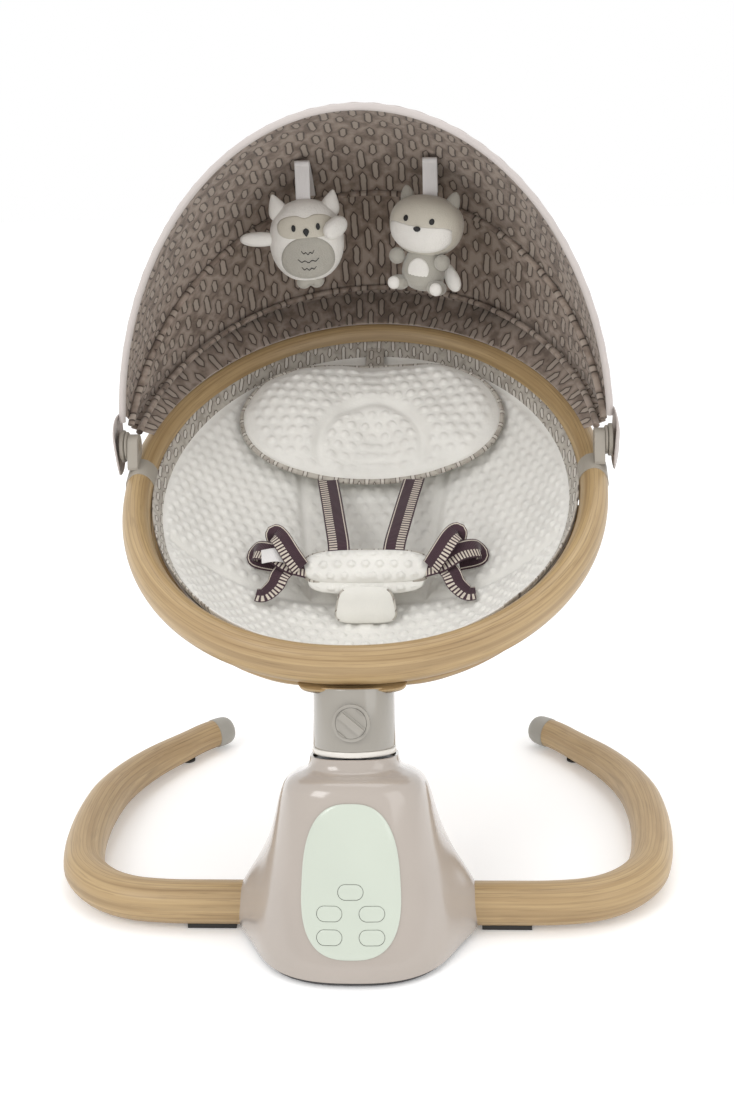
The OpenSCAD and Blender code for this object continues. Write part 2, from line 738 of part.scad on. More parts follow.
base_housing();
base_plate();
base_feet();
leg_left();
leg_right();
leg_cap_left();
leg_cap_right();
leg_socket_left();
leg_socket_right();
leg_pads();
control_panel();
circuit_board();
speaker();
power_inlet();
housing_screws();
lower_bearing_block();
upper_bearing_plate();
lower_bearing();
upper_bearing();
drive_coil();
key_power();
key_swing();
key_music();
key_timer();
key_volume();
swing_shaft();
magnet_arm();
drive_magnet();
neck();
neck_trim_ring();
knob_bezel();
lock_knob();
seat_adaptor();
support_arm_left();
support_arm_right();
ring_front();
ring_rear();
ring_bracket_left();
ring_bracket_right();
pivot_screws();
seat_sling();
seat_pad();
head_pillow();
shoulder_strap_left();
shoulder_strap_right();
waist_strap_left();
waist_strap_right();
belly_pad();
crotch_piece();
canopy_rear_bow();
canopy_tail();
canopy_mid_bow();
canopy_rear_panel();
toy_loop_left();
toy_loop_right();
canopy_front_bow();
canopy_front_panel();
toy_owl();
toy_fox();
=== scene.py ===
# Baby swing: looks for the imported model. Lengths in the tables are millimetres in the frame of
# the part's source, whose Y starts under the swing axis; placed() turns them into the row frame.
import json
import math

import bmesh
import bpy
import numpy as np
from mathutils import Matrix, Vector
from mathutils.bvhtree import BVHTree


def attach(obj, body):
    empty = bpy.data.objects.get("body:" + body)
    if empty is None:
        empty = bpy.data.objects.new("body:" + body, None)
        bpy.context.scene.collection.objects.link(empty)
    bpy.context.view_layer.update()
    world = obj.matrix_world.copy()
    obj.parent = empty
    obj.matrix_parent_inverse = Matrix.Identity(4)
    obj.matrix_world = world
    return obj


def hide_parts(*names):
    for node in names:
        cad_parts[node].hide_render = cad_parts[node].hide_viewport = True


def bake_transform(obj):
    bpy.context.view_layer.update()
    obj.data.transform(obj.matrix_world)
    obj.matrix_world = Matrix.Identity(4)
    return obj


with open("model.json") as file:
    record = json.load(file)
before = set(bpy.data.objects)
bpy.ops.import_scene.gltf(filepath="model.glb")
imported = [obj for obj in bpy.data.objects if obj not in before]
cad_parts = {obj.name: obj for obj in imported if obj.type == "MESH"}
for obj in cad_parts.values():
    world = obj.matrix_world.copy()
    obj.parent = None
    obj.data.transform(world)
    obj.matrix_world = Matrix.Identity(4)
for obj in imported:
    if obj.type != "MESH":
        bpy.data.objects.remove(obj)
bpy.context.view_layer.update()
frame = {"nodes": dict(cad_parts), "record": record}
nodes = frame["nodes"]
joints = {j["name"]: j for j in frame["record"]["behaviour"]["joints"]}
MIDDLE_Y = -1000 * joints["seat_swing"]["pos_m"][1]
scene = bpy.context.scene

BASE = ((0, 0, 0), 0)
NECK = ((0, 0, 150), -14)            # z runs up the leaning swing axis
RING = ((0, 0, 293), 22)             # y runs up the ring's slope
PANEL = ((0, -93.5, 100.6), 70)        # z runs out of the housing's sloping front
PIVOT = (0, 300, 457)                # the canopy's pivots
RING_COS, RING_SIN = math.cos(math.radians(RING[1])), math.sin(math.radians(RING[1]))
SIDES = ((-1, "left"), (1, "right"))


# ---- points and meshes --------------------------------------------------------------------

def placed(points, where=BASE):
    p = np.asarray(points, float)
    (x, y, z), tilt = where
    c, s = math.cos(math.radians(tilt)), math.sin(math.radians(tilt))
    return 0.001 * np.stack([p[..., 0] + x, p[..., 1] * c - p[..., 2] * s + y - MIDDLE_Y,
                             p[..., 1] * s + p[..., 2] * c + z], -1)


def power(base, exponent):
    return np.sign(base) * np.abs(base) ** exponent


def step(x, a, b):
    t = np.clip((np.asarray(x, float) - a) / (b - a), 0, 1)
    return t * t * (3 - 2 * t)


def smooth(points, steps):
    """A Catmull-Rom curve through the points."""
    p = np.asarray(points, float)
    p = np.vstack([p[:1], p, p[-1:]])
    t = np.linspace(0, 1, steps, endpoint=False)[:, None]
    out = [0.5 * (2 * b + (c - a) * t + (2 * a - 5 * b + 4 * c - d) * t * t
                  + (3 * b - a - 3 * c + d) * t ** 3)
           for a, b, c, d in zip(p[:-3], p[1:-2], p[2:-1], p[3:])]
    return np.vstack(out + [p[-1:]])


def grid_faces(rows, cols, close_rows=False, close_cols=True):
    r = np.arange(rows if close_rows else rows - 1)[:, None]
    c = np.arange(cols if close_cols else cols - 1)[None, :]
    r1, c1 = (r + 1) % rows, (c + 1) % cols
    quads = np.stack([r * cols + c, r1 * cols + c, r1 * cols + c1, r * cols + c1], -1)
    return quads.reshape(-1, 4).tolist()


def capped(rows, cols):
    """The faces of a tube of rings with a flat face on both ends."""
    return grid_faces(rows, cols) + [list(range(cols)), [(rows - 1) * cols + k for k in range(cols)]]


def fanned(rings, where):
    """Points, placed by where, and faces of rings closed by a fan at both ends."""
    rows, cols = rings.shape[:2]
    points = placed(rings, where).reshape(-1, 3)
    points = np.vstack([points, points[:cols].mean(0), points[-cols:].mean(0)])
    start, centre = (rows - 1) * cols, rows * cols
    faces = grid_faces(rows, cols) + [[k, (k + 1) % cols, centre] for k in range(cols)]
    faces += [[start + k, centre + 1, start + (k + 1) % cols] for k in range(cols)]
    return points, faces


def build(name, points, faces, materials, which=None, fields=None):
    """A mesh object; fields are values for each point, which is each face's material."""
    mesh = bpy.data.meshes.new(name)
    mesh.from_pydata(np.asarray(points).reshape(-1, 3).tolist(), [], faces)
    for m in materials if isinstance(materials, (list, tuple)) else [materials]:
        mesh.materials.append(m)
    if which is not None:
        mesh.polygons.foreach_set("material_index", np.asarray(which, int))
    for key, value in (fields or {}).items():
        value = np.asarray(value, float)
        kind, prop = ("FLOAT", "value") if value.ndim == 1 else ("FLOAT_VECTOR", "vector")
        mesh.attributes.new(key, kind, "POINT").data.foreach_set(prop, value.ravel())
    obj = bpy.data.objects.new(name, mesh)
    scene.collection.objects.link(obj)
    return tidy(obj)


def tidy(obj, angle=None):
    """Faces all outwards and smooth, apart from edges sharper than angle."""
    bm = bmesh.new()
    bm.from_mesh(obj.data)
    bmesh.ops.remove_doubles(bm, verts=bm.verts, dist=1e-6)
    bmesh.ops.recalc_face_normals(bm, faces=bm.faces)
    bm.to_mesh(obj.data)
    bm.free()
    obj.data.polygons.foreach_set("use_smooth", [True] * len(obj.data.polygons))
    if angle is not None:
        obj.data.set_sharp_from_angle(angle=math.radians(angle))
    return obj


def apply(obj):
    bpy.context.view_layer.update()
    done = obj.evaluated_get(bpy.context.evaluated_depsgraph_get())
    mesh = bpy.data.meshes.new_from_object(done)
    obj.modifiers.clear()
    obj.data = mesh
    return obj


def modify(obj, kind, **values):
    m = obj.modifiers.new(kind.lower(), kind)
    for key, value in values.items():
        setattr(m, key, value)
    return apply(obj)


def finish(obj, body, slot=None, *replaced):
    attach(obj, body)
    if replaced:
        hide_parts(*replaced)
    return obj


def tube(name, path, width, height, up, material, sides=40, where=BASE, lip=0.0, printed=False):
    """An oval tube along a path, with its grain or print along it; lip rounds off both ends."""
    path = np.asarray(path, float)
    n = len(path)
    width = np.broadcast_to(np.asarray(width, float), n).copy()
    height = np.broadcast_to(np.asarray(height, float), n).copy()
    along = np.gradient(path, axis=0)
    along /= np.linalg.norm(along, axis=1)[:, None]
    side = np.cross(along, np.asarray(up, float))
    side /= np.linalg.norm(side, axis=1)[:, None]
    rise = np.cross(side, along)
    run = np.r_[0, np.cumsum(np.linalg.norm(np.diff(path, axis=0), axis=1))]
    if lip:
        near = np.minimum(run, run[-1] - run)
        k = np.clip(near / lip, 0, 1)
        width -= 2 * lip * (1 - np.sqrt(1 - (1 - k) ** 2))
        height -= 2 * lip * (1 - np.sqrt(1 - (1 - k) ** 2))
    a = np.linspace(0, 2 * math.pi, sides, endpoint=False)
    u, v = width[:, None] / 2 * np.cos(a), height[:, None] / 2 * np.sin(a)
    points = path[:, None] + side[:, None] * u[..., None] + rise[:, None] * v[..., None]
    grain = np.stack([np.repeat(run[:, None], sides, 1), u, v], -1) * 0.001
    grain = grain.reshape(-1, 3)
    obj = build(name, placed(points, where), capped(n, sides), material,
                fields={"grain": grain, "flat": grain} if printed else {"grain": grain})
    obj.data.set_sharp_from_angle(angle=math.radians(50))
    return obj


def softened(node, name, material, width, segments=3, angle=32):
    """The CAD node's own shape with its sharp edges rounded over."""
    obj = bpy.data.objects.new(name, nodes[node].data.copy())
    scene.collection.objects.link(obj)
    obj.data.materials.clear()
    obj.data.materials.append(material)
    bm = bmesh.new()
    bm.from_mesh(obj.data)
    bmesh.ops.remove_doubles(bm, verts=bm.verts, dist=2e-5)
    bmesh.ops.dissolve_limit(bm, angle_limit=math.radians(1), verts=bm.verts, edges=bm.edges)
    bm.to_mesh(obj.data)
    bm.free()
    modify(obj, "BEVEL", width=width * 0.001, segments=segments, limit_method="ANGLE",
           angle_limit=math.radians(angle), harden_normals=False)
    obj.data.polygons.foreach_set("use_smooth", [True] * len(obj.data.polygons))
    obj.data.set_sharp_from_angle(angle=math.radians(35))
    return obj


# ---- materials ----------------------------------------------------------------------------

def tone(r, g, b):
    return tuple(((c / 255 + 0.055) / 1.055) ** 2.4 if c > 10 else c / 3295
                 for c in (r, g, b)) + (1,)


class Paint:
    """A node-based material on one Principled shader."""

    def __init__(self, name, rough=0.5, **sockets):
        self.material = bpy.data.materials.new(name)
        self.material.use_nodes = True
        self.tree = self.material.node_tree
        self.shader = self.tree.nodes["Principled BSDF"]
        self.shader.inputs["Roughness"].default_value = rough
        for key, value in sockets.items():
            self.shader.inputs[key.replace("_", " ")].default_value = value

    def add(self, kind, inputs=(), **props):
        n = self.tree.nodes.new("ShaderNode" + kind)
        for key, value in props.items():
            setattr(n, key, value)
        for key, value in dict(inputs).items():
            if isinstance(value, bpy.types.NodeSocket):
                self.tree.links.new(value, n.inputs[key])
            else:
                n.inputs[key].default_value = value
        return n

    def sum(self, operation, a, b=0.0, clamp=False):
        return self.add("Math", {0: a, 1: b}, operation=operation, use_clamp=clamp).outputs[0]

    def place(self, field=None, scale=(1, 1, 1)):
        source = (self.add("Attribute", attribute_name=field).outputs["Vector"] if field
                  else self.add("TexCoord").outputs["Object"])
        return self.add("Mapping", {"Vector": source, "Scale": scale}).outputs[0]

    def value(self, field):
        return self.add("Attribute", attribute_name=field).outputs["Fac"]

    def noise(self, at, scale, detail=3.0, rough=0.55):
        return self.add("TexNoise", {"Vector": at, "Scale": scale, "Detail": detail,
                                     "Roughness": rough}).outputs["Fac"]

    def ramp(self, fac, *stops):
        n = self.add("ValToRGB", {"Fac": fac})
        ends = n.color_ramp.elements
        while len(ends) < len(stops):
            ends.new(0.5)
        for end, (at, colour) in zip(ends, stops):
            end.position, end.color = at, colour
        return n.outputs["Color"]

    def mix(self, fac, a, b):
        return self.add("MixRGB", {"Fac": fac, "Color1": a, "Color2": b}).outputs[0]

    def colour(self, socket):
        self.tree.links.new(socket, self.shader.inputs["Base Color"])
        return self

    def rough(self, socket, low, high):
        n = self.add("MapRange", {"Value": socket, "To Min": low, "To Max": high})
        self.tree.links.new(n.outputs[0], self.shader.inputs["Roughness"])
        return self

    def bump(self, height, strength, distance):
        n = self.add("Bump", {"Height": height, "Strength": strength, "Distance": distance})
        self.tree.links.new(n.outputs[0], self.shader.inputs["Normal"])
        return self


def plastic(name, colour, rough, coat=0.0, texture=0.0):
    p = Paint(name, rough, Coat_Weight=coat, Coat_Roughness=0.12)
    at = p.place()
    cloud = p.noise(at, 7, 2)
    dark = tuple(c * 0.93 for c in colour[:3]) + (1,)
    p.colour(p.ramp(cloud, (0.35, dark), (0.65, colour)))
    fine = p.noise(at, 900 if texture else 60, 2)
    p.rough(fine, rough * 0.85, min(1, rough * 1.15))
    p.bump(fine, 0.12 + texture, 0.0003 if texture else 0.0001)
    return p.material


def metal(name, colour, rough):
    p = Paint(name, rough, Metallic=1.0)
    at = p.place(scale=(60, 60, 900))
    brushed = p.noise(at, 3, 3)
    p.colour(p.ramp(brushed, (0.3, tuple(c * 0.85 for c in colour[:3]) + (1,)), (0.7, colour)))
    p.rough(brushed, rough * 0.8, rough * 1.3)
    return p.bump(brushed, 0.1, 0.0001).material


def wood(name, pale, dark):
    """Light oak: long streaks, a few darker growth lines and short pores, all along the grain."""
    p = Paint(name, 0.42, Coat_Weight=0.12, Coat_Roughness=0.3)
    streak = p.noise(p.place("grain", (5, 150, 150)), 1.0, 5, 0.62)
    pores = p.noise(p.place("grain", (28, 900, 900)), 1.0, 2, 0.5)
    wide = p.noise(p.place("grain", (2, 40, 40)), 1.0, 2)
    lines = p.add("TexWave", {"Vector": p.place("grain", (1.2, 70, 70)), "Scale": 1.0,
                              "Distortion": 9.0, "Detail": 3.0, "Detail Scale": 0.7},
                  wave_type="BANDS", bands_direction="Y").outputs["Fac"]
    body = p.ramp(streak, (0.28, dark), (0.5, tuple((a + b) / 2 for a, b in zip(pale, dark))),
                  (0.72, pale))
    body = p.mix(p.ramp(lines, (0.0, (0.5, 0.5, 0.5, 1)), (0.22, (0, 0, 0, 1))), body,
                 tuple(c * 0.72 for c in dark[:3]) + (1,))
    body = p.mix(p.ramp(pores, (0.30, (0.55, 0.55, 0.55, 1)), (0.42, (0, 0, 0, 1))), body,
                 tuple(c * 0.6 for c in dark[:3]) + (1,))
    body = p.mix(p.ramp(wide, (0.35, (0, 0, 0, 1)), (0.75, (0.35, 0.35, 0.35, 1))), body,
                 tuple(min(1, c * 1.12) for c in pale[:3]) + (1,))
    p.colour(body)
    return p.rough(streak, 0.5, 0.36).bump(p.sum("ADD", streak, pores), 0.16, 0.0003).material


def weave(p, at, pitch):
    """Height of a plain weave of that pitch, in metres."""
    x, y, _ = p.add("SeparateXYZ", {"Vector": at}).outputs
    k = math.pi / pitch
    return p.sum("MULTIPLY", p.sum("SINE", p.sum("MULTIPLY", x, k)),
                 p.sum("SINE", p.sum("MULTIPLY", y, k)))


def cloth(name, colour, pitch=0.0011, field=None, fuzz=0.0, shade=0.9):
    p = Paint(name, 0.9, Sheen_Weight=0.25 + fuzz * 0.3, Sheen_Roughness=0.5)
    p.shader.inputs["Sheen Tint"].default_value = (1, 1, 1, 1)
    at = p.place(field)
    cloud = p.noise(at, 26, 4)
    dark = tuple(c * shade for c in colour[:3]) + (1,)
    p.colour(p.ramp(cloud, (0.3, dark), (0.7, colour)))
    if fuzz:
        nap = p.sum("ADD", p.noise(at, 520, 4, 0.7), p.sum("MULTIPLY", p.noise(at, 130, 2), 0.5))
        return p.bump(nap, 0.3 + 0.4 * fuzz, 0.0012).material
    nap = p.sum("ADD", weave(p, at, pitch), p.noise(at, 300, 3))
    return p.bump(nap, 0.25, 0.0004).material


def lozenges(p, at, pitch_x, pitch_y):
    """How far a point is from the middle line of its cell, in columns of long upright cells."""
    x, y, _ = p.add("SeparateXYZ", {"Vector": at}).outputs
    column = p.sum("DIVIDE", x, pitch_x)
    number = p.sum("FLOOR", column)
    across = p.sum("MULTIPLY", p.sum("ABSOLUTE", p.sum("SUBTRACT", p.sum("FRACT", column), 0.5)),
                   pitch_x)
    odd = p.sum("MULTIPLY", p.sum("MODULO", p.sum("ABSOLUTE", number), 2.0), 0.5)
    row = p.sum("ADD", p.sum("DIVIDE", y, pitch_y), odd)
    place_in_row = p.sum("FRACT", row)
    cell = p.add("CombineXYZ", {"X": number, "Y": p.sum("FLOOR", row)}).outputs[0]
    chance = p.add("TexWhiteNoise", {"Vector": cell}, noise_dimensions="3D").outputs["Value"]
    reach = p.sum("MULTIPLY", p.sum("ADD", p.sum("MULTIPLY", chance, 0.24), 0.10), pitch_y)
    along = p.sum("MULTIPLY", p.sum("ABSOLUTE", p.sum("SUBTRACT", place_in_row, 0.5)), pitch_y)
    over = p.sum("MAXIMUM", p.sum("SUBTRACT", along, reach), 0.0)
    return p.sum("ADD", across, p.sum("MULTIPLY", over, 0.75))


def print_cloth(name, ground, blotch, cell_in, line, scale=1.0, field="flat"):
    """Printed lining: outlined long cells with a darker halo over soft blotches."""
    p = Paint(name, 0.88, Sheen_Weight=0.2, Sheen_Roughness=0.5)
    at = p.place(field)
    wobble = p.noise(at, 40 / scale, 2)
    warp = p.add("CombineXYZ", {"X": p.sum("MULTIPLY", p.sum("SUBTRACT", wobble, 0.5), 0.005 * scale),
                                "Y": 0.0}).outputs[0]
    moved = p.add("VectorMath", {0: at, 1: warp}, operation="ADD").outputs[0]
    far = lozenges(p, moved, 0.0195 * scale, 0.050 * scale)
    half = 0.0047 * scale
    body = p.ramp(p.noise(at, 34 / scale, 3), (0.36, blotch), (0.56, ground))
    halo = p.add("MapRange", {"Value": far, "From Min": half, "From Max": half * 2.3,
                              "To Min": 1.0, "To Max": 0.0}).outputs[0]
    body = p.mix(p.sum("MULTIPLY", halo, 0.75, True), body, blotch)
    body = p.mix(p.sum("LESS_THAN", far, half), body, cell_in)
    ring = p.sum("ABSOLUTE", p.sum("SUBTRACT", far, half))
    edge = p.add("MapRange", {"Value": ring, "From Min": 0.0006 * scale, "From Max": 0.0016 * scale,
                              "To Min": 0.9, "To Max": 0.0}).outputs[0]
    p.colour(p.mix(edge, body, line))
    nap = p.sum("ADD", weave(p, at, 0.001), p.noise(at, 60, 3))
    return p.bump(nap, 0.25, 0.0005).material


def webbing(name, ground, stripe, edge_from, edge_to):
    """Dark webbing with a pale ladder stripe between two places across it, from -1 to 1."""
    p = Paint(name, 0.8, Sheen_Weight=0.3, Sheen_Roughness=0.4)
    at = p.place("flat")
    x, y, _ = p.add("SeparateXYZ", {"Vector": at}).outputs
    rib = p.sum("SINE", p.sum("MULTIPLY", y, math.pi / 0.0011))
    band = p.sum("MULTIPLY", p.sum("GREATER_THAN", x, edge_from), p.sum("LESS_THAN", x, edge_to))
    rung = p.sum("GREATER_THAN", p.sum("SINE", p.sum("MULTIPLY", y, math.pi / 0.0021)), -0.15)
    sign = -1 if edge_to > 0 else 1
    thin = p.sum("LESS_THAN", p.sum("ABSOLUTE", p.sum("SUBTRACT", x, sign * 0.0105)), 0.0006)
    fac = p.sum("MULTIPLY", p.sum("MAXIMUM", p.sum("MULTIPLY", band, rung), thin), 0.92)
    cloud = p.ramp(p.noise(at, 60, 2), (0.3, tuple(c * 0.8 for c in ground[:3]) + (1,)),
                   (0.7, ground))
    return p.colour(p.mix(fac, cloud, stripe)).bump(rib, 0.5, 0.0004).material


OAK = wood("oak", tone(184, 158, 116), tone(142, 114, 76))
GREIGE = plastic("housing_gloss", tone(172, 162, 153), 0.16, coat=0.7)
# a darker copy of the housing plastic: painted shade on the neck, its bezel and its knob
HOUSING_IN_PAINTED_SHADE = plastic("housing_gloss_painted_shade", tone(152, 147, 138), 0.16, coat=0.7)
TRIM = plastic("trim_gloss", tone(221, 216, 208), 0.2, coat=0.6)
MINT = plastic("panel_gloss", tone(194, 201, 188), 0.2, coat=0.5)
GREY = plastic("moulded_grey", tone(160, 153, 142), 0.42, texture=0.1)
CAP = plastic("cap_grey", tone(158, 155, 147), 0.45, texture=0.1)
DARK = plastic("dark_moulding", tone(62, 60, 60), 0.5, texture=0.1)
RUBBER = plastic("rubber_black", tone(52, 51, 50), 0.8, texture=0.2)
BOARD = plastic("board_green", tone(38, 92, 58), 0.4)
STEEL = metal("ground_steel", (0.60, 0.60, 0.62, 1), 0.28)
CAST = metal("cast_alloy", (0.55, 0.56, 0.58, 1), 0.5)
COPPER = metal("wound_copper", (0.72, 0.34, 0.16, 1), 0.4)
MAGNET = metal("plated_magnet", (0.3, 0.3, 0.31, 1), 0.35)
MINKY = cloth("minky", tone(236, 234, 228), fuzz=0.6)
PLAIN_WHITE = cloth("sleeve_white", tone(233, 231, 224), pitch=0.0009)
TAPE = cloth("tape_white", tone(226, 223, 222), pitch=0.0014)
SLING = cloth("sling_cloth", tone(196, 186, 178), pitch=0.0012)
OUTER = cloth("canopy_outside", tone(180, 170, 165), pitch=0.001, field="flat", shade=0.95)
HEM = cloth("canopy_hem", tone(192, 184, 180), pitch=0.001, shade=0.95)
LINING = print_cloth("canopy_lining", tone(166, 151, 139), tone(116, 101, 90), tone(172, 159, 147),
                     tone(62, 50, 44))
EDGING = print_cloth("edging_print", tone(188, 182, 172), tone(160, 152, 142), tone(204, 199, 190),
                     tone(84, 72, 64), scale=0.5)
LADDER_R = webbing("webbing_ladder_right", tone(66, 42, 52), tone(214, 204, 190), 0.0018, 0.0112)
LADDER_L = webbing("webbing_ladder_left", tone(66, 42, 52), tone(214, 204, 190), -0.0112, -0.0018)
PLUSH_WHITE = cloth("plush_white", tone(236, 233, 227), fuzz=0.8)
PLUSH_BEIGE = cloth("plush_beige", tone(206, 200, 186), fuzz=0.5)
PLUSH_GREY = cloth("plush_grey", tone(176, 172, 162), fuzz=0.9)
BLACK = plastic("thread_black", tone(24, 23, 24), 0.5)


# ---- base ---------------------------------------------------------------------------------

# housing outline by height: height, lean, half width, front reach, rear reach, middle
BELL = smooth([
    (6, 0, 107, 123.5, 97, 0), (12, 0, 107.5, 123, 97, 0), (26, 0, 107, 120, 96, 0),
    (58, 0, 102, 108, 91, 0), (88, 1, 94.5, 96.5, 85, 0), (110, 3, 88.5, 88.5, 79.5, 0),
    (132, 6, 83, 81, 73.5, 1), (150, 9, 78.5, 75, 69, 2.5), (163, 12, 74, 70.5, 65, 4),
    (170, 13.5, 69, 65.5, 61, 5), (174.5, 14, 62, 59.5, 57, 6.1), (177.5, 14, 54, 53, 52, 6.9),
    (181, 14, 48.6, 48.6, 48.6, 7.7), (186, 14, 46.4, 46.4, 46.4, 9),
    (191.7, 14, 45.6, 45.6, 45.6, 10.4)], 5)


def bell(extra, sides=160, rows=BELL):
    a = np.linspace(0, 2 * math.pi, sides, endpoint=False)[None, :]
    z, lean, half, front, rear, mid = (rows[:, k, None] for k in range(6))
    lean = np.radians(lean)
    y = power(np.sin(a), 2 / 2.6) * (np.where(np.sin(a) < 0, front, rear) + extra)
    flare = 24 * np.exp(-(y / 40) ** 2 - ((z - 26) / 48) ** 2)
    x = power(np.cos(a), 2 / 2.6) * (half + extra)
    x = x + np.sign(np.cos(a)) * flare * np.minimum(1, 4 * np.abs(np.cos(a)))
    return np.stack([x, mid + y * np.cos(lean), z - y * np.sin(lean)], -1)


wall = np.concatenate([bell(0), bell(-0.9)[-1:], bell(-3)[::-1], bell(-1.5)[:1]])
wall[len(BELL)] += np.array([0, 0.2, 0.7])
housing = build("housing_shell", placed(wall), grid_faces(len(wall), wall.shape[1], True), GREIGE)
housing.data.set_sharp_from_angle(angle=math.radians(40))
finish(housing, "base", "housing_plastic", "base_housing")


def surface_over(extra):
    rings = placed(bell(extra))
    return BVHTree.FromPolygons([Vector(p) for p in rings.reshape(-1, 3)],
                                grid_faces(*rings.shape[:2]))


def drop_on(tree, points, lift=0.0):
    """Panel-frame points moved along the panel's normal onto the surface, then lifted off it."""
    out = []
    way = Vector(placed([0, 0, -1], PANEL) - placed([0, 0, 0], PANEL)).normalized()
    for x, y, dz in points:
        start = Vector(placed([x, y, 60], PANEL))
        hit = tree.ray_cast(start, way)[0]
        out.append(np.array(hit - way * (lift + dz) * 0.001))
    return np.array(out)


def outline(count, half_w, half_h, exponent, taper=0.0):
    a = np.linspace(0, 2 * math.pi, count, endpoint=False)
    y = power(np.sin(a), 2 / exponent) * half_h
    return np.stack([power(np.cos(a), 2 / exponent) * half_w * (1 - taper * y / half_h), y], -1)


def pill(count, w, h):
    a = np.linspace(0, 2 * math.pi, count, endpoint=False)
    return np.stack([h / 2 * np.cos(a) + np.sign(np.cos(a)) * (w - h) / 2, h / 2 * np.sin(a)], -1)


def lid(name, tree, shape, centre, base, top, edge, material, dish=0.0):
    """A cap that follows the housing: rounded edge, closed underneath."""
    profile = [(1, base), (1, top - edge), (1 - 0.012, top - edge * 0.45), (1 - 0.035, top),
               (0.85, top - dish * 0.3), (0.6, top - dish), (0.3, top - dish)]
    points = [(centre[0] + x * k, centre[1] + y * k, dz) for k, dz in profile for x, y in shape]
    points = list(drop_on(tree, points)) + [drop_on(tree, [(*centre, top - dish)])[0],
                                            drop_on(tree, [(*centre, base)])[0]]
    n, rows = len(shape), len(profile)
    faces = grid_faces(rows, n)
    faces += [[(rows - 1) * n + k, rows * n, (rows - 1) * n + (k + 1) % n] for k in range(n)]
    faces += [[k, (k + 1) % n, rows * n + 1] for k in range(n)]
    return build(name, points, faces, material)


KEYS = {"key_power": (0, -10), "key_swing": (-21, -31), "key_music": (21, -31),
        "key_timer": (-21, -54), "key_volume": (21, -54)}
skin = surface_over(0)
plate = lid("panel_plate", skin, outline(220, 49, 76, 2.7, 0.08), (0, 0), 0.35, 2.3, 1.1, MINT)
for key, centre in KEYS.items():
    hole = pill(64, 25.8, 15.8) + np.array(centre)
    ring = np.concatenate([np.c_[hole, np.full(64, z)] for z in (-25, 40)])
    cutter = build("cutter", placed(ring, PANEL),
                   capped(2, 64), MINT)
    modify(plate, "BOOLEAN", object=cutter, operation="DIFFERENCE", solver="EXACT")
    bpy.data.objects.remove(cutter)
    cap = lid(key + "_cap", skin, pill(64, 25, 15), centre, 1.3, 2.75, 0.9, MINT, dish=0.5)
    finish(cap, key, "panel_plastic", key)
plate.data.polygons.foreach_set("use_smooth", [True] * len(plate.data.polygons))
plate.data.set_sharp_from_angle(angle=math.radians(30))
finish(plate, "base", "panel_plastic", "control_panel")

LEG = np.array([
    (-104, 0), (-150, 0), (-205, 1), (-247, 9), (-280, 29), (-306, 62), (-318, 100), (-325, 150),
    (-327, 205), (-323, 262), (-311, 314), (-291, 364), (-266, 407), (-236, 453), (-203, 483)])


def leg_height(y):
    return np.where(y < 250, 46.0, 46 - 9 * np.minimum(1, (y - 250) / 180))


for side, word in ((1, "left"), (-1, "right")):
    flat = smooth(LEG, 12)
    cap_at = len(flat) - 1 - 8
    path = np.c_[flat[:, 0] * side, flat[:, 1], 3 + leg_height(flat[:, 1]) / 2]
    size = leg_height(flat[:, 1])
    leg = tube("leg_tube_" + word, path[:cap_at], size[:cap_at], size[:cap_at], (0, 0, 1), OAK)
    finish(leg, "base", "wood_finish", "leg_" + word)
    ahead = path[cap_at] - path[cap_at - 1]
    ahead /= np.linalg.norm(ahead)
    run = np.array([0, 0.3, 1, 4, 10, 16, 20, 23, 25, 26.2, 26.8, 27])
    wide = 37 * np.array([1.0, 1.03, 1.05, 1.05, 1.05, 1.03, 0.98, 0.9, 0.79, 0.65, 0.45, 0.1])
    cap = tube("leg_cap_" + word + "_end", path[cap_at - 1] + ahead * run[:, None], wide, wide,
               (0, 0, 1), CAP)
    finish(cap, "base", "grey_plastic", "leg_cap_" + word)


# ---- neck ---------------------------------------------------------------------------------

def lathe(name, profile, material, where=NECK, sides=96):
    a = np.linspace(0, 2 * math.pi, sides, endpoint=False)
    p = np.asarray(profile, float)
    rings = np.stack([p[:, :1] * np.cos(a), p[:, :1] * np.sin(a),
                      np.repeat(p[:, 1:], sides, 1)], -1)
    obj = build(name, placed(rings, where), grid_faces(len(p), sides, True), material)
    obj.data.set_sharp_from_angle(angle=math.radians(45))
    return obj


# the neck, bezel and knob take the darker housing copy, which is painted shade
neck = lathe("neck_shell", [(34, 51.2), (42.1, 51.2), (42.5, 51.7), (42.45, 53), (41.9, 113.3),
                            (41.6, 114.2), (40.9, 114.8), (34, 115)], HOUSING_IN_PAINTED_SHADE)
finish(neck, "swing", "housing_plastic", "neck")
trim = lathe("trim_band", [(36, 45.3), (42.8, 45.2), (43.4, 45.8), (43.5, 47), (43.5, 49.4),
                           (43.2, 50.4), (42.6, 50.9), (36, 50.9)], TRIM)
finish(trim, "swing", "trim_plastic", "neck_trim_ring")
finish(softened("knob_bezel", "bezel_ring", HOUSING_IN_PAINTED_SHADE, 0.7), "swing", "housing_plastic", "knob_bezel")
finish(softened("lock_knob", "knob_turn", HOUSING_IN_PAINTED_SHADE, 0.8), "knob", "housing_plastic", "lock_knob")

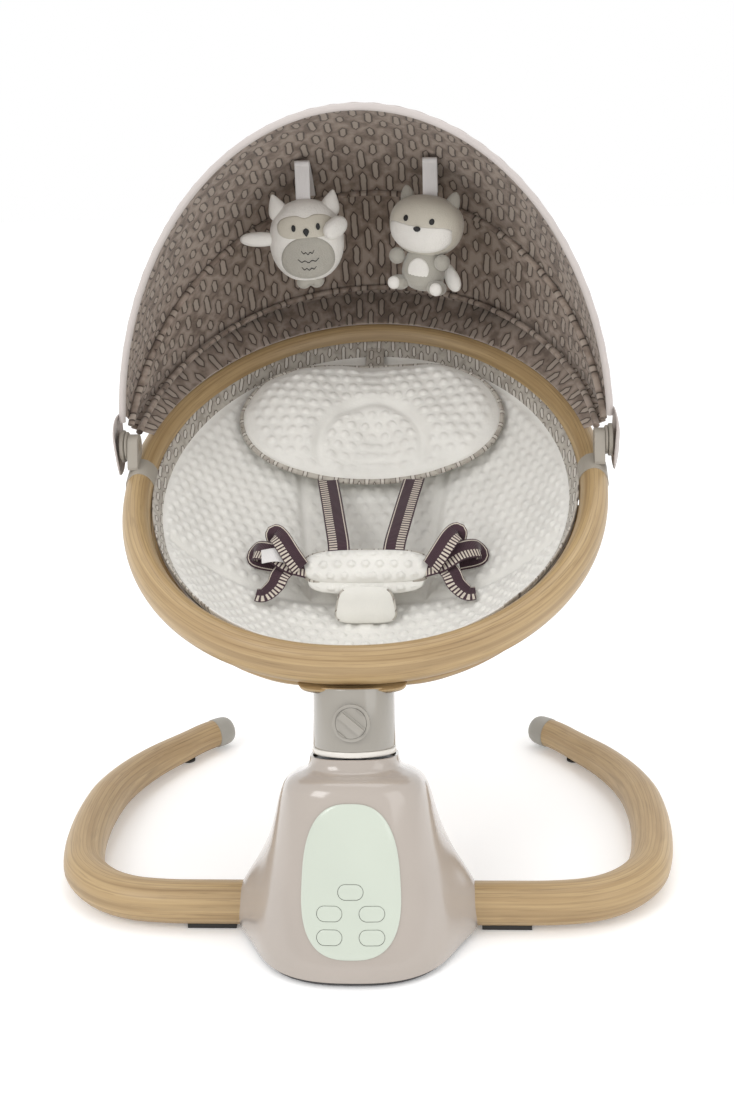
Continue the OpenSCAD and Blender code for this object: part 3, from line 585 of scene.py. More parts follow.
# the adaptor swells from the neck's round top to the flat seat under the ring's front
low = np.stack([*outline(96, 42.2, 42.2, 2).T, np.full(96, 115.2)], -1)
low = placed(low, NECK)
high = placed(np.c_[outline(96, 56, 19, 3.8), np.full(96, -22.8)] + np.array([0, 5, 0]), RING)
waist = placed(np.c_[outline(96, 55, 19, 3.6), np.full(96, -31)] + np.array([0, 9, 0]), RING)
rings = [low + (low - low.mean(0)) * g for g in (-0.03, 0.0)]
rings += [low * (1 - t) + waist * t for t in np.linspace(0.08, 0.92, 8)]
rings += [waist, high, high + (high.mean(0) - high) * 0.04]
rings = np.array(rings)
adaptor = build("adaptor_block", rings, capped(len(rings), 96), OAK,
                fields={"grain": rings.reshape(-1, 3)})
finish(adaptor, "swing", "wood_finish", "seat_adaptor")

ARM = smooth([
    (48, 24, -33), (68, 27, -33), (90, 36, -34.5), (120, 56, -38), (152, 86, -42),
    (180, 123, -45), (205, 168, -46), (225, 215, -45), (240, 262, -42), (250, 306, -40)], 10)
for side, word in SIDES:
    arm = tube("arm_tube_" + word, ARM * np.array([side, 1, 1]), 27, 27, (0, 0, 1), OAK, where=RING,
               lip=5)
    finish(arm, "swing", "wood_finish", "support_arm_" + word)


# ---- ring ---------------------------------------------------------------------------------

RING_A, RING_B, RING_MID = 265, 324, 323.5


def ring_point(a):
    full = np.where(np.sin(a) < 0, 2.15, 1.95)
    return np.stack([RING_A * power(np.cos(a), 2 / full),
                     RING_MID + RING_B * power(np.sin(a), 2 / full), 0 * a], -1)


gap = math.radians(2.3)
for word, a0, a1 in (("front", math.pi + gap, 2 * math.pi - gap), ("rear", gap, math.pi - gap)):
    path = ring_point(np.linspace(a0, a1, 200))
    part = tube("ring_tube_" + word, path, 33, 45, (0, 0, 1), OAK, sides=48, where=RING)
    finish(part, "swing", "wood_finish", "ring_" + word)
for word in ("left", "right"):
    part = softened("ring_bracket_" + word, "bracket_" + word, GREY, 1.4, segments=4)
    finish(part, "swing", "grey_plastic", "ring_bracket_" + word)


# ---- seat ---------------------------------------------------------------------------------

RIM_A, RIM_B, BOWL_MID, BOWL_DEPTH = 247.5, 306.5, 205, 130


def rim_reach(a):
    off = BOWL_MID - RING_MID
    qa = (np.cos(a) / RIM_A) ** 2 + (np.sin(a) / RIM_B) ** 2
    qb = 2 * off * np.sin(a) / RIM_B ** 2
    return (-qb + np.sqrt(qb * qb - 4 * qa * ((off / RIM_B) ** 2 - 1))) / (2 * qa)


def bowl_level(t, a):
    return (-BOWL_DEPTH * (1 - t ** (2.45 - 0.75 * np.maximum(0, np.sin(a)) ** 1.5))
            + 6 * t ** 10)


def bowl_face(t, a, drop):
    r = rim_reach(a) * t
    return np.stack([r * np.cos(a), BOWL_MID + r * np.sin(a), bowl_level(t, a) - drop], -1)


def spread_out(points):
    """Flat coordinates of a bowl's rows and spokes: distance along each spoke, at its angle."""
    run = np.linalg.norm(np.diff(points, axis=0), axis=2)
    run = np.vstack([np.zeros(points.shape[1]), np.cumsum(run, 0)]) * 0.001
    a = np.linspace(0, 2 * math.pi, points.shape[1], endpoint=False)
    return np.stack([run * np.cos(a), run * np.sin(a), 0 * run], -1)


def dots(x, y, pitch=16.5, size=5.2, height=2.8):
    """Staggered round bumps on flat coordinates in millimetres."""
    row = np.round(y / (pitch * 0.866))
    shift = (row % 2) * pitch / 2
    dx = x - shift - np.round((x - shift) / pitch) * pitch
    dy = y - row * pitch * 0.866
    d = np.hypot(dx, dy)
    return height * (1 - step(d, size * 0.45, size * 1.12))


def pad_and_sling():
    around, rows = 600, 128
    a = np.linspace(0, 2 * math.pi, around, endpoint=False)[None, :]
    t = np.linspace(0.012, 1, rows)[:, None] ** 0.92
    top = bowl_face(t, a, 0.0)
    flat = spread_out(top)
    x, y = top[..., 0], flat[..., 1] * 1000
    seam = np.minimum(np.abs(np.abs(x) - 62 - 0.12 * y), 60)
    seam = np.where((y > 40) & (t < 0.93), seam, 60)
    cross_seam = np.where(t < 0.93, np.abs(y - 42), 60)
    nearest = np.minimum(seam, cross_seam)
    edge = np.abs(t - 0.955) * 260
    groove = 4.6 * np.exp(-(nearest / 5.5) ** 2) + 3.4 * np.exp(-(edge / 5) ** 2)
    crown = 3.0 * step(nearest, 4, 34)
    plain = step(nearest, 5, 9) * (1 - step(t, 0.935, 0.95))
    lift = crown - groove + dots(flat[..., 0] * 1000, y) * plain - 1.5
    lift = lift + 0.7 * np.sin(flat[..., 0] * 90 + 2) * np.sin(flat[..., 1] * 70) * plain
    normal = np.stack([-x * 0.0022, -(top[..., 1] - BOWL_MID) * 0.0016, 1 + 0 * x], -1)
    normal /= np.linalg.norm(normal, axis=-1)[..., None]
    face = top + normal * (lift * np.minimum(1, (1 - t) * 24 + 0.25))[..., None]
    lips = [bowl_face(np.full((1, 1), k), a, d) for k, d in
            ((1.004, 1.6), (1.006, 4.2), (1.003, 6.6), (0.992, 8.2))]
    under = bowl_face(np.linspace(0.96, 0.02, 26)[:, None], a, 8.6)
    rings = np.concatenate([face] + lips + [under])
    flat_all = np.concatenate([flat] + [flat[-1:]] * 4 + [spread_out(under)])
    points, faces = fanned(rings, RING)
    which = np.zeros(len(faces), int)
    edged = np.r_[t[:-1, 0] > 0.953, np.ones(4, bool)]
    strip = which[:len(edged) * around].reshape(-1, around)
    strip[np.outer(edged, np.sin(a[0]) > -0.62)] = 1
    fields = {"flat": np.vstack([flat_all.reshape(-1, 3), [[0, 0, 0]] * 2])}
    pad = build("seat_pad_quilted", points, faces, [MINKY, EDGING], which, fields)
    finish(pad, "swing", "minky_fabric", "seat_pad")

    a = np.linspace(0, 2 * math.pi, 240, endpoint=False)[None, :]
    t = np.linspace(0.02, 1, 60)[:, None]
    mid = bowl_face(t, a, 11.7)
    mid[..., 2] -= 0.6 * np.sin(a * 9) * np.sin(t * 14) * t
    points = placed(mid, RING)
    flat = spread_out(mid)
    faces = grid_faces(60, 240)
    centre = placed([[0, BOWL_MID, -BOWL_DEPTH - 11.7]], RING)
    faces += [[k, (k + 1) % 240, 60 * 240] for k in range(240)]
    sling = build("sling_shell", np.vstack([points.reshape(-1, 3), centre]), faces, SLING,
                  fields={"flat": np.vstack([flat.reshape(-1, 3), [[0, 0, 0]]])})
    modify(sling, "SOLIDIFY", thickness=0.0018, offset=0)
    finish(sling, "swing", "sling_fabric", "seat_sling")


pad_and_sling()


def cushion(name, shape, thick, where, materials, dotted=True, grooves=None, edge_mark=None,
            rows=60, around=240, bend=None):
    """A crowned closed pad: shape(a) is its outline, thick its depth at the middle.

    edge_mark(a) says where its rim shows the second material."""
    a = np.linspace(0, 2 * math.pi, around, endpoint=False)
    rim = shape(a)
    t = np.linspace(0.015, 1, rows)[:, None, None]
    xy = rim[None] * t
    crown = thick / 2 * (1 - t[..., 0] ** 2.6) ** 0.52 + 0 * xy[..., 0]
    x, y = xy[..., 0], xy[..., 1]
    inner = 1 - step(t[..., 0], 0.86, 0.94)
    sink = grooves(x, y) if grooves else 0 * x
    lift = (dots(x, y) if dotted else 0 * x) * inner * (1 - step(sink, 0.4, 1.5))
    upper = np.stack([x, y, crown - sink * inner + lift], -1)
    lower = np.stack([x, y, -crown * 0.8], -1)
    rings = np.concatenate([upper, lower[::-1]])
    flat = rings * 0.001
    points, faces = fanned(bend(rings) if bend else rings, where)
    which = np.zeros(len(faces), int)
    if edge_mark is not None:
        row, spoke = np.divmod(np.arange(len(faces) - 2 * around), around)
        which[:len(row)] = (np.abs(row - rows + 0.5) < rows * 0.09) & edge_mark(a)[spoke]
    fields = {"flat": np.vstack([flat.reshape(-1, 3), [[0, 0, 0]] * 2])}
    return build(name, points, faces, materials, which, fields)


def pillow_shape(a):
    p = np.stack([power(np.cos(a), 0.72) * 164, power(np.sin(a), 0.86) * 88], -1)
    p[:, 0] *= 1 - 0.10 * np.maximum(0, p[:, 1] / 88)
    return p


def pillow_grooves(x, y):
    horseshoe = np.abs(np.hypot(x, (y + 50) * 0.95) - 66)
    return 6 * np.exp(-(horseshoe / 7) ** 2) * step(y, -84, -60)


def pillow_bend(r):
    x, y = r[..., 0], r[..., 1]
    lobes = 26 * (1 - np.exp(-(x / 105) ** 2))
    hollow = 9 * (1 - step(np.hypot(x, (y + 50) * 0.95), 18, 72)) * (r[..., 2] > 0)
    soft = 1.6 * np.sin(x / 21 + 1) * np.sin(y / 17) + 1.1 * np.sin(x / 9.5 + y / 14)
    return np.stack([x, y, r[..., 2] + lobes - hollow + soft * (r[..., 2] > 3)], -1)


def piping(name, shape, where, bend, size, drop=0.0):
    """A covered cord sewn round a cushion's edge."""
    a = np.linspace(0, 2 * math.pi, 181)
    path = np.c_[shape(a), np.full(181, drop)]
    cord = tube(name, bend(path) if bend else path, size, size, (0, 0, 1), EDGING, sides=14,
                where=where, printed=True)
    finish(cord, "swing", "minky_fabric")


def stuffed(obj, fill, *replaced):
    finish(obj, "swing", "minky_fabric", *replaced)


PILLOW_UP, PILLOW_LIFT = 492, -34     # place on the ring's slope and above it
pillow_at = ((0, PILLOW_UP * RING_COS - PILLOW_LIFT * RING_SIN,
              RING[0][2] + PILLOW_UP * RING_SIN + PILLOW_LIFT * RING_COS), 44)
stuffed(cushion("pillow_horseshoe", pillow_shape, 44, pillow_at, [MINKY], True, pillow_grooves,
                bend=pillow_bend), 0.7, "head_pillow")
piping("pillow_piping", pillow_shape, pillow_at, pillow_bend, 7)


def belly_shape(a):
    return np.stack([power(np.cos(a), 0.62) * 74, power(np.sin(a), 0.62) * 21], -1)


BELLY_AT = ((0, 266, 316), 52)
stuffed(cushion("belly_roll", belly_shape, 19, BELLY_AT, [MINKY]), 0.6, "belly_pad")
piping("belly_piping", belly_shape, BELLY_AT, None, 5.5, drop=-3)
stuffed(cushion("belly_lining", lambda a: belly_shape(a) * 0.93, 12, ((0, 261, 304), 60), [MINKY]),
        0.5)
stuffed(cushion("crotch_sleeve", lambda a: outline(240, 35, 22, 4, 0.12), 13, ((0, 242, 277), 80),
                [PLAIN_WHITE, EDGING], False, None, lambda a: np.abs(np.cos(a)) > 0.7),
        0.3, "crotch_piece")


def ribbon(name, path, wide, thick, facing, material, body, steps=14, slot=None, replaced=()):
    """Flat webbing along a path, its face turned to facing; rounded selvedges."""
    path = smooth(path, steps)
    n = len(path)
    facing = np.asarray(facing, float)
    if facing.ndim == 2:
        at = np.linspace(0, 1, len(facing))
        facing = np.stack([np.interp(np.linspace(0, 1, n), at, facing[:, k]) for k in range(3)], -1)
    else:
        facing = np.repeat(facing[None], n, 0)
    along = np.gradient(path, axis=0)
    along /= np.linalg.norm(along, axis=1)[:, None]
    side = np.cross(along, facing)
    side /= np.linalg.norm(side, axis=1)[:, None]
    out = np.cross(side, along)
    u = np.array([-1, -0.97, -0.8, -0.4, 0, 0.4, 0.8, 0.97, 1, 0.97, 0.8, 0.4, 0, -0.4, -0.8, -0.97])
    v = np.array([0, 0.7, 1, 1, 1, 1, 1, 0.7, 0, -0.7, -1, -1, -1, -1, -1, -0.7])
    points = (path[:, None] + side[:, None] * (u * wide / 2)[None, :, None]
              + out[:, None] * (v * thick / 2)[None, :, None])
    run = np.r_[0, np.cumsum(np.linalg.norm(np.diff(path, axis=0), axis=1))]
    flat = np.stack([np.repeat((u * wide / 2)[None], n, 0), np.repeat(run[:, None], 16, 1),
                     0 * np.ones((n, 16))], -1) * 0.001
    obj = build(name, placed(points), capped(n, 16), material, fields={"flat": flat.reshape(-1, 3)})
    return finish(obj, body, slot, *replaced)


for side, word in SIDES:
    inner, outer = (LADDER_R, LADDER_L) if side < 0 else (LADDER_L, LADDER_R)
    for part, wide, thick, material, replaced, facing, path in (
            ("shoulder_webbing_", 26, 1.8, inner, ("shoulder_strap_" + word,), [(0, -0.45, 0.9)] * 2,
             [(58, 425, 400), (54, 402, 389), (47, 365, 373), (40, 325, 356), (34, 292, 340),
              (32, 276, 330)]),
            ("waist_webbing_", 26, 1.8, outer, ("waist_strap_" + word,),
             [(0, -0.6, 0.8), (0.1, -0.7, 0.7), (0.5, -0.6, 0.6)],
             [(70, 264, 314), (88, 260, 322), (110, 266, 334), (131, 280, 333), (130, 292, 320),
              (108, 288, 316)]),
            ("waist_loop_", 24, 1.6, outer, (), [(-0.3, -0.8, 0.4), (-0.2, -0.9, 0.3), (0.4, -0.6, 0.6)],
             [(76, 256, 318), (86, 255, 334), (99, 266, 351), (107, 279, 353), (104, 285, 340),
              (94, 282, 326)]),
            ("waist_tail_", 24, 1.6, outer, (), [(0.2, -0.9, 0.4), (0.1, -0.6, 0.8), (0, -0.3, 0.95)],
             [(92, 262, 318), (100, 252, 311), (106, 246, 300), (118, 240, 291), (128, 240, 291)])):
        mirror = np.array([side, 1, 1])
        ribbon(part + word, np.array(path) * mirror, wide, thick, np.array(facing) * mirror, material,
               "swing", slot="webbing", replaced=replaced)

# a blank sewn-in label on one of the loops
ribbon("blank_label", [(-92, 262, 331), (-106, 258, 334), (-122, 260, 331)], 17, 0.7, (0, -0.8, 0.6),
       TAPE, "swing", slot="webbing")
ribbon("pillow_tab", [(0, 540, 508), (0, 556, 516), (0, 575, 526)], 24, 2, (0, -0.4, 0.9), EDGING,
       "swing", slot="minky_fabric")


# ---- canopy -------------------------------------------------------------------------------

FRONT, MID, REAR = -5, 43.5, 67.5    # angles of the three bows, behind the upright
HOOD_HALF_W, HOOD_H = 290, 383.5


def hood(u, phi, inset=0.0, inset_z=None):
    """A point of the hood: u goes from one pivot over the crown to the other, phi backwards."""
    u, phi = np.radians(u), np.radians(phi)
    x = (HOOD_HALF_W - inset) * np.cos(u)
    out = (HOOD_H - (inset if inset_z is None else inset_z)) * np.sin(u)
    return np.stack([x + 0 * phi, PIVOT[1] + out * np.sin(phi), PIVOT[2] + out * np.cos(phi)], -1)


def crown(u, lift):
    """A point over the ring's tube, in the source's frame."""
    p = ring_point(np.radians(u))
    return np.stack([p[..., 0], p[..., 1] * RING_COS - lift * RING_SIN,
                     RING[0][2] + p[..., 1] * RING_SIN + lift * RING_COS], -1)


def canopy():
    phis = np.unique(np.r_[np.linspace(FRONT, MID, 60), np.linspace(MID, REAR + 1.6, 34)])
    us = np.linspace(6, 174, 180)
    phi, u = np.meshgrid(phis, us, indexing="ij")
    span = np.where(phi < MID, (phi - FRONT) / (MID - FRONT), (phi - MID) / (REAR - MID))
    belly = np.sin(np.pi * np.clip(span, 0, 1))
    seam = np.exp(-((phi - MID) / 0.8) ** 2)
    pull = 1.3 * np.sin(u * 0.55 + phi * 0.11) * belly
    pull += 0.8 * np.sin(u * 1.3 - phi * 0.23) * np.exp(-((u - 90) / 80) ** 4)
    level = 1.2 + 2.2 * step(phi, MID - 8, MID + 2) + 2.2 * step(phi, REAR - 8, REAR)
    points = hood(u, phi, level + 3.0 * belly ** 1.2 + 0.8 * seam + 0.5 * pull)
    top = points[-1]
    foot = crown(np.interp(us, [6, 174], [12, 168]), 23)
    share = np.linspace(0, 1, 18)[1:, None, None]
    ends = np.minimum(1, np.minimum(us - 6, 174 - us) / 12)[:, None]
    tail = top * (1 - share) + foot * share
    tail[..., 2] += (2.0 * np.sin(np.radians(us * 9)) * np.sin(np.pi * share[..., 0])) * ends[:, 0]
    points = np.concatenate([points, tail])
    drop = np.linalg.norm(foot - top, axis=1)
    flat = np.stack([335 * np.radians(u - 90), HOOD_H * np.radians(phi), 0 * u], -1)
    lower = np.stack([np.repeat(flat[-1:, :, 0], 17, 0), flat[-1, :, 1] + share[..., 0] * drop,
                      np.zeros((17, 180))], -1)
    flat = np.concatenate([flat, lower]) * 0.001
    sheet = build("canopy_cloth", placed(points), grid_faces(len(points), 180, False, False),
                  [OUTER, LINING], fields={"flat": flat.reshape(-1, 3)})
    middle = Vector(placed([0, 330, 520]))
    if (sheet.data.polygons[0].normal.dot(sheet.data.polygons[0].center - middle)) < 0:
        sheet.data.flip_normals()
    m = sheet.modifiers.new("thick", "SOLIDIFY")
    m.thickness, m.offset, m.material_offset, m.use_rim = 0.0012, -1, 1, True
    apply(sheet)
    co = np.empty(len(sheet.data.vertices) * 3)
    sheet.data.vertices.foreach_get("co", co)
    co = co.reshape(-1, 3) * 1000
    back = np.degrees(np.arctan2(co[:, 1] + MIDDLE_Y - PIVOT[1], co[:, 2] - PIVOT[2]))
    turn = 17 / 48                   # the middle bow's share of the fold; the shares worked out here are not used
    share = np.interp(back, [FRONT, 26.5, MID + 1, REAR], [1, turn, turn, 0])
    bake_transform(sheet)
    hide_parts("canopy_front_panel", "canopy_rear_panel", "canopy_tail")


canopy()


def disc(name, x0, thick, radius, material, body):
    """A bevelled disc beside each pivot."""
    for side, word in SIDES:
        profile = [(0.02, x0), (radius - 1.2, x0), (radius, x0 + 1), (radius, x0 + thick - 1),
                   (radius - 1.2, x0 + thick), (radius * 0.6, x0 + thick + 0.3), (0.02, x0 + thick)]
        a = np.linspace(0, 2 * math.pi, 64, endpoint=False)
        ring = np.array([np.stack([np.full(64, side * x), PIVOT[1] + r * np.cos(a),
                                   PIVOT[2] + r * np.sin(a)], -1) for r, x in profile])
        obj = build(f"{name}_{word}", placed(ring), grid_faces(len(profile), 64), material)
        obj.data.set_sharp_from_angle(angle=math.radians(45))
        finish(obj, body, "grey_plastic")


disc("hub_disc_mid", 278.4, 3.3, 17, GREY, "mid_bow")
disc("hub_disc_front", 282.2, 5, 19, GREY, "front_bow")

for word, phi, inset_x, inset_z, body, material, wide, deep in (
        ("front", FRONT, 5.3, 5, "front_bow", HEM, 8, 10),
        ("mid", MID, 10.2, 8, "mid_bow", LINING, 8, 5.8),
        ("rear", REAR, 18, 11, "swing", LINING, 8, 7)):
    back = math.radians(phi)
    path = hood(np.linspace(4.5, 175.5, 160), phi, inset_x, inset_z)
    sleeve = tube("bow_sleeve_" + word, path, wide, deep, (0, math.cos(back), -math.sin(back)),
                  material, sides=20, printed=True)
    finish(sleeve, body, "canopy_fabric", f"canopy_{word}_bow")

# the front panel's lower corners hang over the hubs as rounded lobes
for side, word in SIDES:
    a = np.linspace(0, 2 * math.pi, 72, endpoint=False)
    k = np.linspace(0.06, 1, 14)[:, None]
    lobe = outline(72, 23, 36, 2.6, -0.25)
    bulge = 5.5 * (1 - k ** 2) + 0.8 * np.sin(3 * a) * k
    across, tall = lobe[:, 0] * k, lobe[:, 1] * k
    face = np.stack([side * (289 + bulge), PIVOT[1] - 2 + across, PIVOT[2] + 2 + tall], -1)
    flat = np.stack([across, tall, 0 * across], -1) * 0.001
    obj = build("pivot_lobe_" + word, placed(face), grid_faces(14, 72) + [list(range(72))], OUTER,
                fields={"flat": flat.reshape(-1, 3)})
    modify(obj, "SOLIDIFY", thickness=0.0014, offset=0)
    finish(obj, "front_bow", "canopy_fabric")


# ---- toys ---------------------------------------------------------------------------------

TOY_X, TOY_OUT, TOY_BACK = 78, 355, math.radians(28)
TOY_Y = PIVOT[1] + TOY_OUT * math.sin(TOY_BACK)
TOY_Z = PIVOT[2] + TOY_OUT * math.cos(TOY_BACK)


def turned(points, rx=0.0, ry=0.0, rz=0.0):
    m = (Matrix.Rotation(math.radians(rz), 3, "Z") @ Matrix.Rotation(math.radians(ry), 3, "Y")
         @ Matrix.Rotation(math.radians(rx), 3, "X"))
    return points @ np.array(m).T


def blob(centre, radii, full=2.0, taper=0.0, turn=(0, 0, 0), sides=40, rows=24):
    """A stuffed rounded form; taper narrows its top, full squares it off."""
    a = np.linspace(0, 2 * math.pi, sides, endpoint=False)[None, :]
    b = np.linspace(-math.pi / 2 + 0.02, math.pi / 2 - 0.02, rows)[:, None]
    z = power(np.sin(b), 2 / full)
    k = power(np.cos(b), 2 / full) * (1 - taper * z)
    p = np.stack([k * power(np.cos(a), 2 / full), k * power(np.sin(a), 2 / full), z + 0 * a], -1)
    p = turned(p * np.asarray(radii, float), *turn) + np.asarray(centre, float)
    return p.reshape(-1, 3), capped(rows, sides)


def pair(paint, centre, radii, full=2.0, taper=0.0, splay=0.0):
    """The same form at both sides of a toy's middle."""
    x, y, z = centre
    return [(blob((side * x, y, z), radii, full, taper, (0, side * splay, 0)), paint)
            for side in (-1, 1)]


def patch(centre, radii, shape, lift=0.9, full=2.2, rows=10):
    """A sewn-on flat patch that lies over the front of a blob."""
    c, r = np.asarray(centre, float), np.asarray(radii, float)

    def front(x, z, out):
        inside = 1 - (np.abs(x / r[0]) ** full + np.abs(z / r[2]) ** full)
        return -r[1] * np.maximum(inside, 0.001) ** (1 / full) - out

    rings = []
    for k, out in [(t, lift) for t in np.linspace(0.05, 0.94, rows)] + [(1, lift * 0.2), (1, -1.5)]:
        xz = shape * k + (1 - k) * shape.mean(0)
        rings.append(np.stack([xz[:, 0], front(xz[:, 0], xz[:, 1], out), xz[:, 1]], -1) + c)
    n = len(shape)
    faces = grid_faces(len(rings), n) + [list(range(n))]
    return np.concatenate(rings), faces


def toy(name, x0, parts, body, slot, node, turn=(0, 0, 0)):
    points, faces, which, paints = [], [], [], []
    count = 0
    for (p, f), material in parts:
        if material not in paints:
            paints.append(material)
        points.append(p)
        faces += [[i + count for i in face] for face in f]
        which += [paints.index(material)] * len(f)
        count += len(p)
    where = ((x0, TOY_Y, TOY_Z), 0)
    shape = turned(np.vstack(points) + np.array([0, 0, 46]), *turn) - np.array([0, 0, 46])
    obj = build(name, placed(shape, where), faces, paints, which)
    return finish(obj, body, slot, node)


def oval(w, h, x=0.0, z=0.0, count=48, full=2.0):
    return outline(count, w, h, full) + np.array([x, z])


owl_c, owl_r = (0, 0, -92), (46, 25, 50)
face_disc = np.array([(power(math.cos(a), 0.9) * 35, (17 + 3 * math.cos(2 * a)) * math.sin(a) + 18
                       - 4 * math.exp(-(math.cos(a) * 30 / 5) ** 2) * (math.sin(a) > 0))
                      for a in np.linspace(0, 2 * math.pi, 64, endpoint=False)])
belly = np.array([(33 * math.cos(a), 26 * math.sin(a) - 20 - 3 * (math.sin(a) < 0)
                   * (1 - abs(math.sin(a)))) for a in np.linspace(0, 2 * math.pi, 64, endpoint=False)])


def wave_line(x0, x1, z, drop, count=40):
    """A thin stitched zigzag smile, as an outline."""
    x = np.linspace(x0, x1, count)
    k = (x - x0) / (x1 - x0)
    mid = z - drop * np.sin(np.pi * k) + 1.1 * np.cos(k * math.pi * 6)
    return np.vstack([np.c_[x, mid + 0.55], np.c_[x, mid - 0.55][::-1]])


def stitched(shape):
    """A raised line of thread on the owl's front."""
    c, r = np.asarray(owl_c, float), np.asarray(owl_r, float)
    rows = []
    half = len(shape) // 2
    for out in (1.6, -0.5):
        inside = 1 - (np.abs(shape[:, 0] / r[0]) ** 2.2 + np.abs(shape[:, 1] / r[2]) ** 2.2)
        y = -r[1] * np.maximum(inside, 0.001) ** (1 / 2.2) - out
        rows.append(np.stack([shape[:, 0], y, shape[:, 1]], -1) + c)
    n = len(shape)
    faces = grid_faces(2, n) + [[k, k + 1, n - 2 - k, n - 1 - k] for k in range(half - 1)]
    faces += [[n + k, n + k + 1, 2 * n - 2 - k, 2 * n - 1 - k] for k in range(half - 1)]
    return np.concatenate(rows), faces


toy("owl_plush_toy", -TOY_X, [
    (blob(owl_c, owl_r, 2.2), PLUSH_WHITE),
    *pair(PLUSH_WHITE, (33, 0, -50), (11, 7, 17), 2.0, 0.55, 16),
    (blob((-58, -3, -86), (24, 8, 9), 2.2, 0.0, (0, 4, 0)), PLUSH_WHITE),
    (blob((36, -24, -78), (17, 9, 12), 2.2, 0.0, (0, -30, 26)), PLUSH_WHITE),
    *pair(PLUSH_GREY, (8, 0, -143), (9, 8, 8)),
    (blob((0, 0, -141), (16, 8, 7)), PLUSH_GREY),
    (patch(owl_c, owl_r, face_disc, 0.9), PLUSH_BEIGE),
    (patch(owl_c, owl_r, belly, 0.9), PLUSH_GREY),
    *[(patch(owl_c, owl_r, oval(2.6, 4.2, x, 17), 2.2), BLACK) for x in (-15, 15)],
    (patch(owl_c, owl_r, outline(48, 3.6, 5.2, 1.6, -0.45) + np.array([0, 11]), 2.6), BLACK),
    *[(stitched(wave_line(-reach, reach, z, drop)), BLACK)
      for reach, z, drop in ((8, -12, 2.5), (13, -22, 2.5), (9, -32, 2.0))],
], "owl", "owl_plush", "toy_owl", (0, -3, 6))

fox_head_c, fox_head_r = (0, -3, -78), (47, 30, 37)
fox_body_c, fox_body_r = (2, 0, -128), (27, 21, 30)
mask = np.array([(44 * math.cos(a), -9 + (17 if math.sin(a) > 0 else 25) * math.sin(a)
                  + 7 * math.cos(2 * a) * (math.sin(a) > 0))
                 for a in np.linspace(0, 2 * math.pi, 72, endpoint=False)]) * 0.92
toy("fox_plush_toy", TOY_X, [
    (blob(fox_head_c, fox_head_r, 2.2, -0.05), PLUSH_BEIGE),
    (blob(fox_body_c, fox_body_r, 2.2, 0.15), PLUSH_GREY),
    *pair(PLUSH_GREY, (30, 0, -46), (9, 6, 13), 2.0, 0.25, 14),
    *pair(PLUSH_GREY, (30, -14, -118), (10, 9, 10)),
    (blob((-24, -12, -150), (12, 13, 9), 2.2), PLUSH_GREY),
    (blob((26, -12, -150), (12, 13, 9), 2.2), PLUSH_GREY),
    (blob((-27, -23, -150), (8, 5, 8)), PLUSH_WHITE),
    (blob((29, -23, -150), (8, 5, 8)), PLUSH_WHITE),
    (blob((36, 8, -136), (9, 6, 20), 2.0, 0.3, (0, -32, 0)), PLUSH_WHITE),
    (patch(fox_head_c, fox_head_r, mask, 1.0), PLUSH_WHITE),
    *[(patch(fox_head_c, fox_head_r, oval(3.0, 3.8, x, 9), 2.0), BLACK) for x in (-17, 17)],
    (patch(fox_head_c, fox_head_r, outline(48, 4.4, 3.2, 2.0, -0.2) + np.array([0, -2]), 3.0), BLACK),
    (patch(fox_body_c, fox_body_r, oval(14, 16, 0, -4), 0.9), PLUSH_WHITE),
], "fox", "fox_plush", "toy_fox", (0, 8, -20))

for side, word, body in ((-1, "left", "owl"), (1, "right", "fox")):
    x = side * TOY_X
    arc = [(x, PIVOT[1] + r * math.sin(math.radians(back)), PIVOT[2] + r * math.cos(math.radians(back)))
           for back, r in ((40.5, 358), (36, 358.6), (31, 358.8), (28.4, 359), (27.3, 356),
                           (27.6, 351.5), (29.5, 350.5), (34, 354), (39.5, 357.5))]
    ribbon("loop_tape_" + word, arc, 18, 1.0,
           [(0, 0.5, 0.86), (0, 0.5, 0.86), (0, 0.4, 0.9), (0, -1, 0.3), (0, -0.9, -0.3),
            (0, -0.4, -0.9), (0, -0.5, -0.86), (0, -0.5, -0.86)], TAPE, "mid_bow", slot="white_tape",
           replaced=("toy_loop_" + word,))
    ribbon("hanging_tape_" + word, [(x, TOY_Y + 3.5, TOY_Z - 4), (x, TOY_Y + 3.2, TOY_Z + 2.4),
                                    (x, TOY_Y - 2.6, TOY_Z + 2.6), (x, TOY_Y - 3, TOY_Z - 5),
                                    (x, TOY_Y - 2, TOY_Z - 25), (x, TOY_Y - 1, TOY_Z - 46)],
           18, 1.0, (0, -1, 0.02), TAPE, body, slot="white_tape")


# ---- carried CAD nodes --------------------------------------------------------------------

def keep(material, *names):
    for name in names:
        if not nodes[name].hide_render:
            nodes[name].data.materials.clear()
            nodes[name].data.materials.append(material)


keep(DARK, "base_plate", "leg_socket_left", "leg_socket_right", "speaker", "power_inlet")
keep(RUBBER, "base_feet", "leg_pads")
keep(BOARD, "circuit_board")
keep(STEEL, "housing_screws", "swing_shaft", "lower_bearing", "upper_bearing", "pivot_screws")
keep(CAST, "lower_bearing_block", "upper_bearing_plate", "magnet_arm")
keep(COPPER, "drive_coil")
keep(MAGNET, "drive_magnet")


# ---- floor, light and camera --------------------------------------------------------------

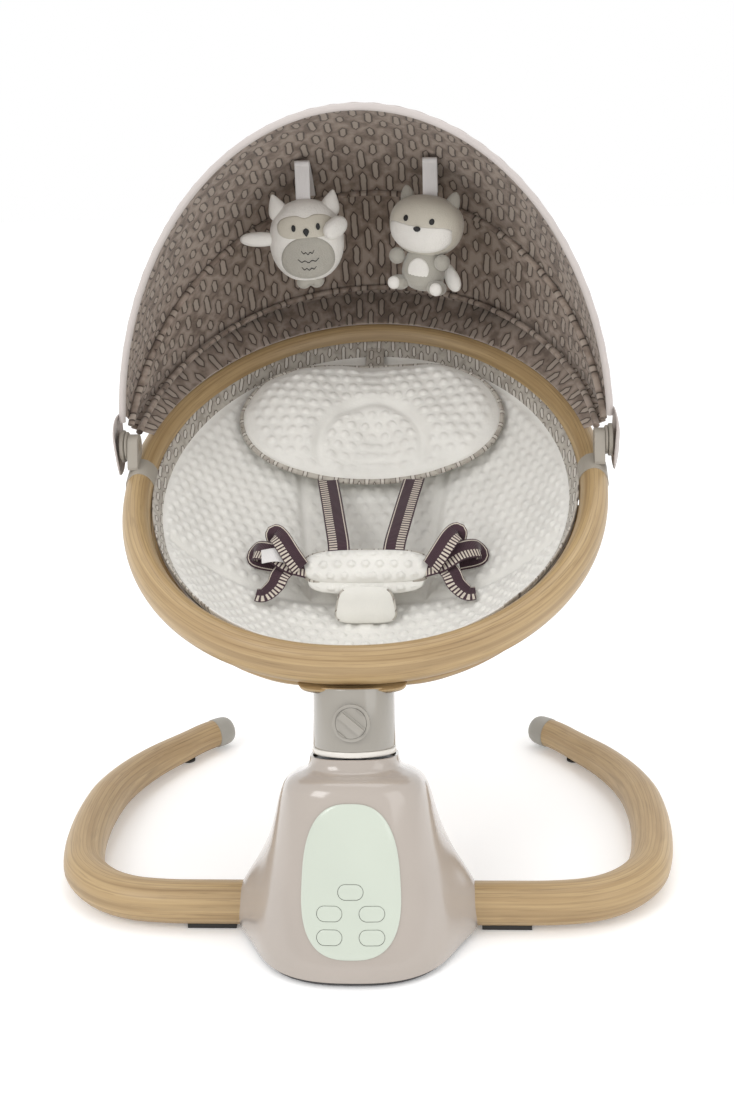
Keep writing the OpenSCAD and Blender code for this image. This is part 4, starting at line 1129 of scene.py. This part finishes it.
ground = Paint("floor_white", 0.95, Emission_Color=(1, 1, 1, 1), Emission_Strength=0.16)
ground.colour(ground.ramp(ground.noise(ground.place(), 3), (0.3, (0.93, 0.93, 0.93, 1)),
                          (0.7, (0.96, 0.96, 0.96, 1))))
floor = build("floor", np.array([(-12, -12, -0.0005), (12, -12, -0.0005), (12, 12, -0.0005),
                                 (-12, 12, -0.0005)]), [[0, 1, 2, 3]], ground.material)
world = bpy.data.worlds.new("studio")
scene.world = world
world.use_nodes = True
world.node_tree.nodes["Background"].inputs[0].default_value = (1, 1, 1, 1)
world.node_tree.nodes["Background"].inputs[1].default_value = 1.0


def lamp(name, at, target, size, watts):
    light = bpy.data.lights.new(name, "AREA")
    light.size, light.energy = size, watts
    obj = bpy.data.objects.new(name, light)
    obj.location = at
    obj.rotation_euler = (Vector(target) - Vector(at)).to_track_quat("-Z", "Y").to_euler()
    scene.collection.objects.link(obj)


lamp("key", (-2.2, -2.6, 2.8), (0, 0, 0.35), 1.6, 34)
lamp("fill", (2.6, -2.0, 1.8), (0, 0, 0.35), 2.0, 14)
lamp("top", (0.2, 0.6, 3.2), (0, 0, 0.3), 2.4, 20)

pitch, turn, roll = (math.radians(v) for v in (16, 3.81, -1.62))
ahead = Vector((-math.sin(turn) * math.cos(pitch), math.cos(turn) * math.cos(pitch),
                -math.sin(pitch)))
right = Vector((math.cos(turn), math.sin(turn), 0))
up = right.cross(ahead)
right, up = right * math.cos(roll) + up * math.sin(roll), up * math.cos(roll) - right * math.sin(roll)
camera = bpy.data.cameras.new("camera")
camera.lens, camera.sensor_width, camera.sensor_height = 49.18, 36, 36
camera.sensor_fit = "VERTICAL"
eye = bpy.data.objects.new("camera", camera)
rows = [(right[k], up[k], -ahead[k], (0.1137, -1.416 - MIDDLE_Y / 1000, 0.821)[k]) for k in range(3)]
eye.matrix_world = Matrix(rows + [(0, 0, 0, 1)])
scene.collection.objects.link(eye)
scene.camera = eye
scene.view_settings.view_transform = "Standard"
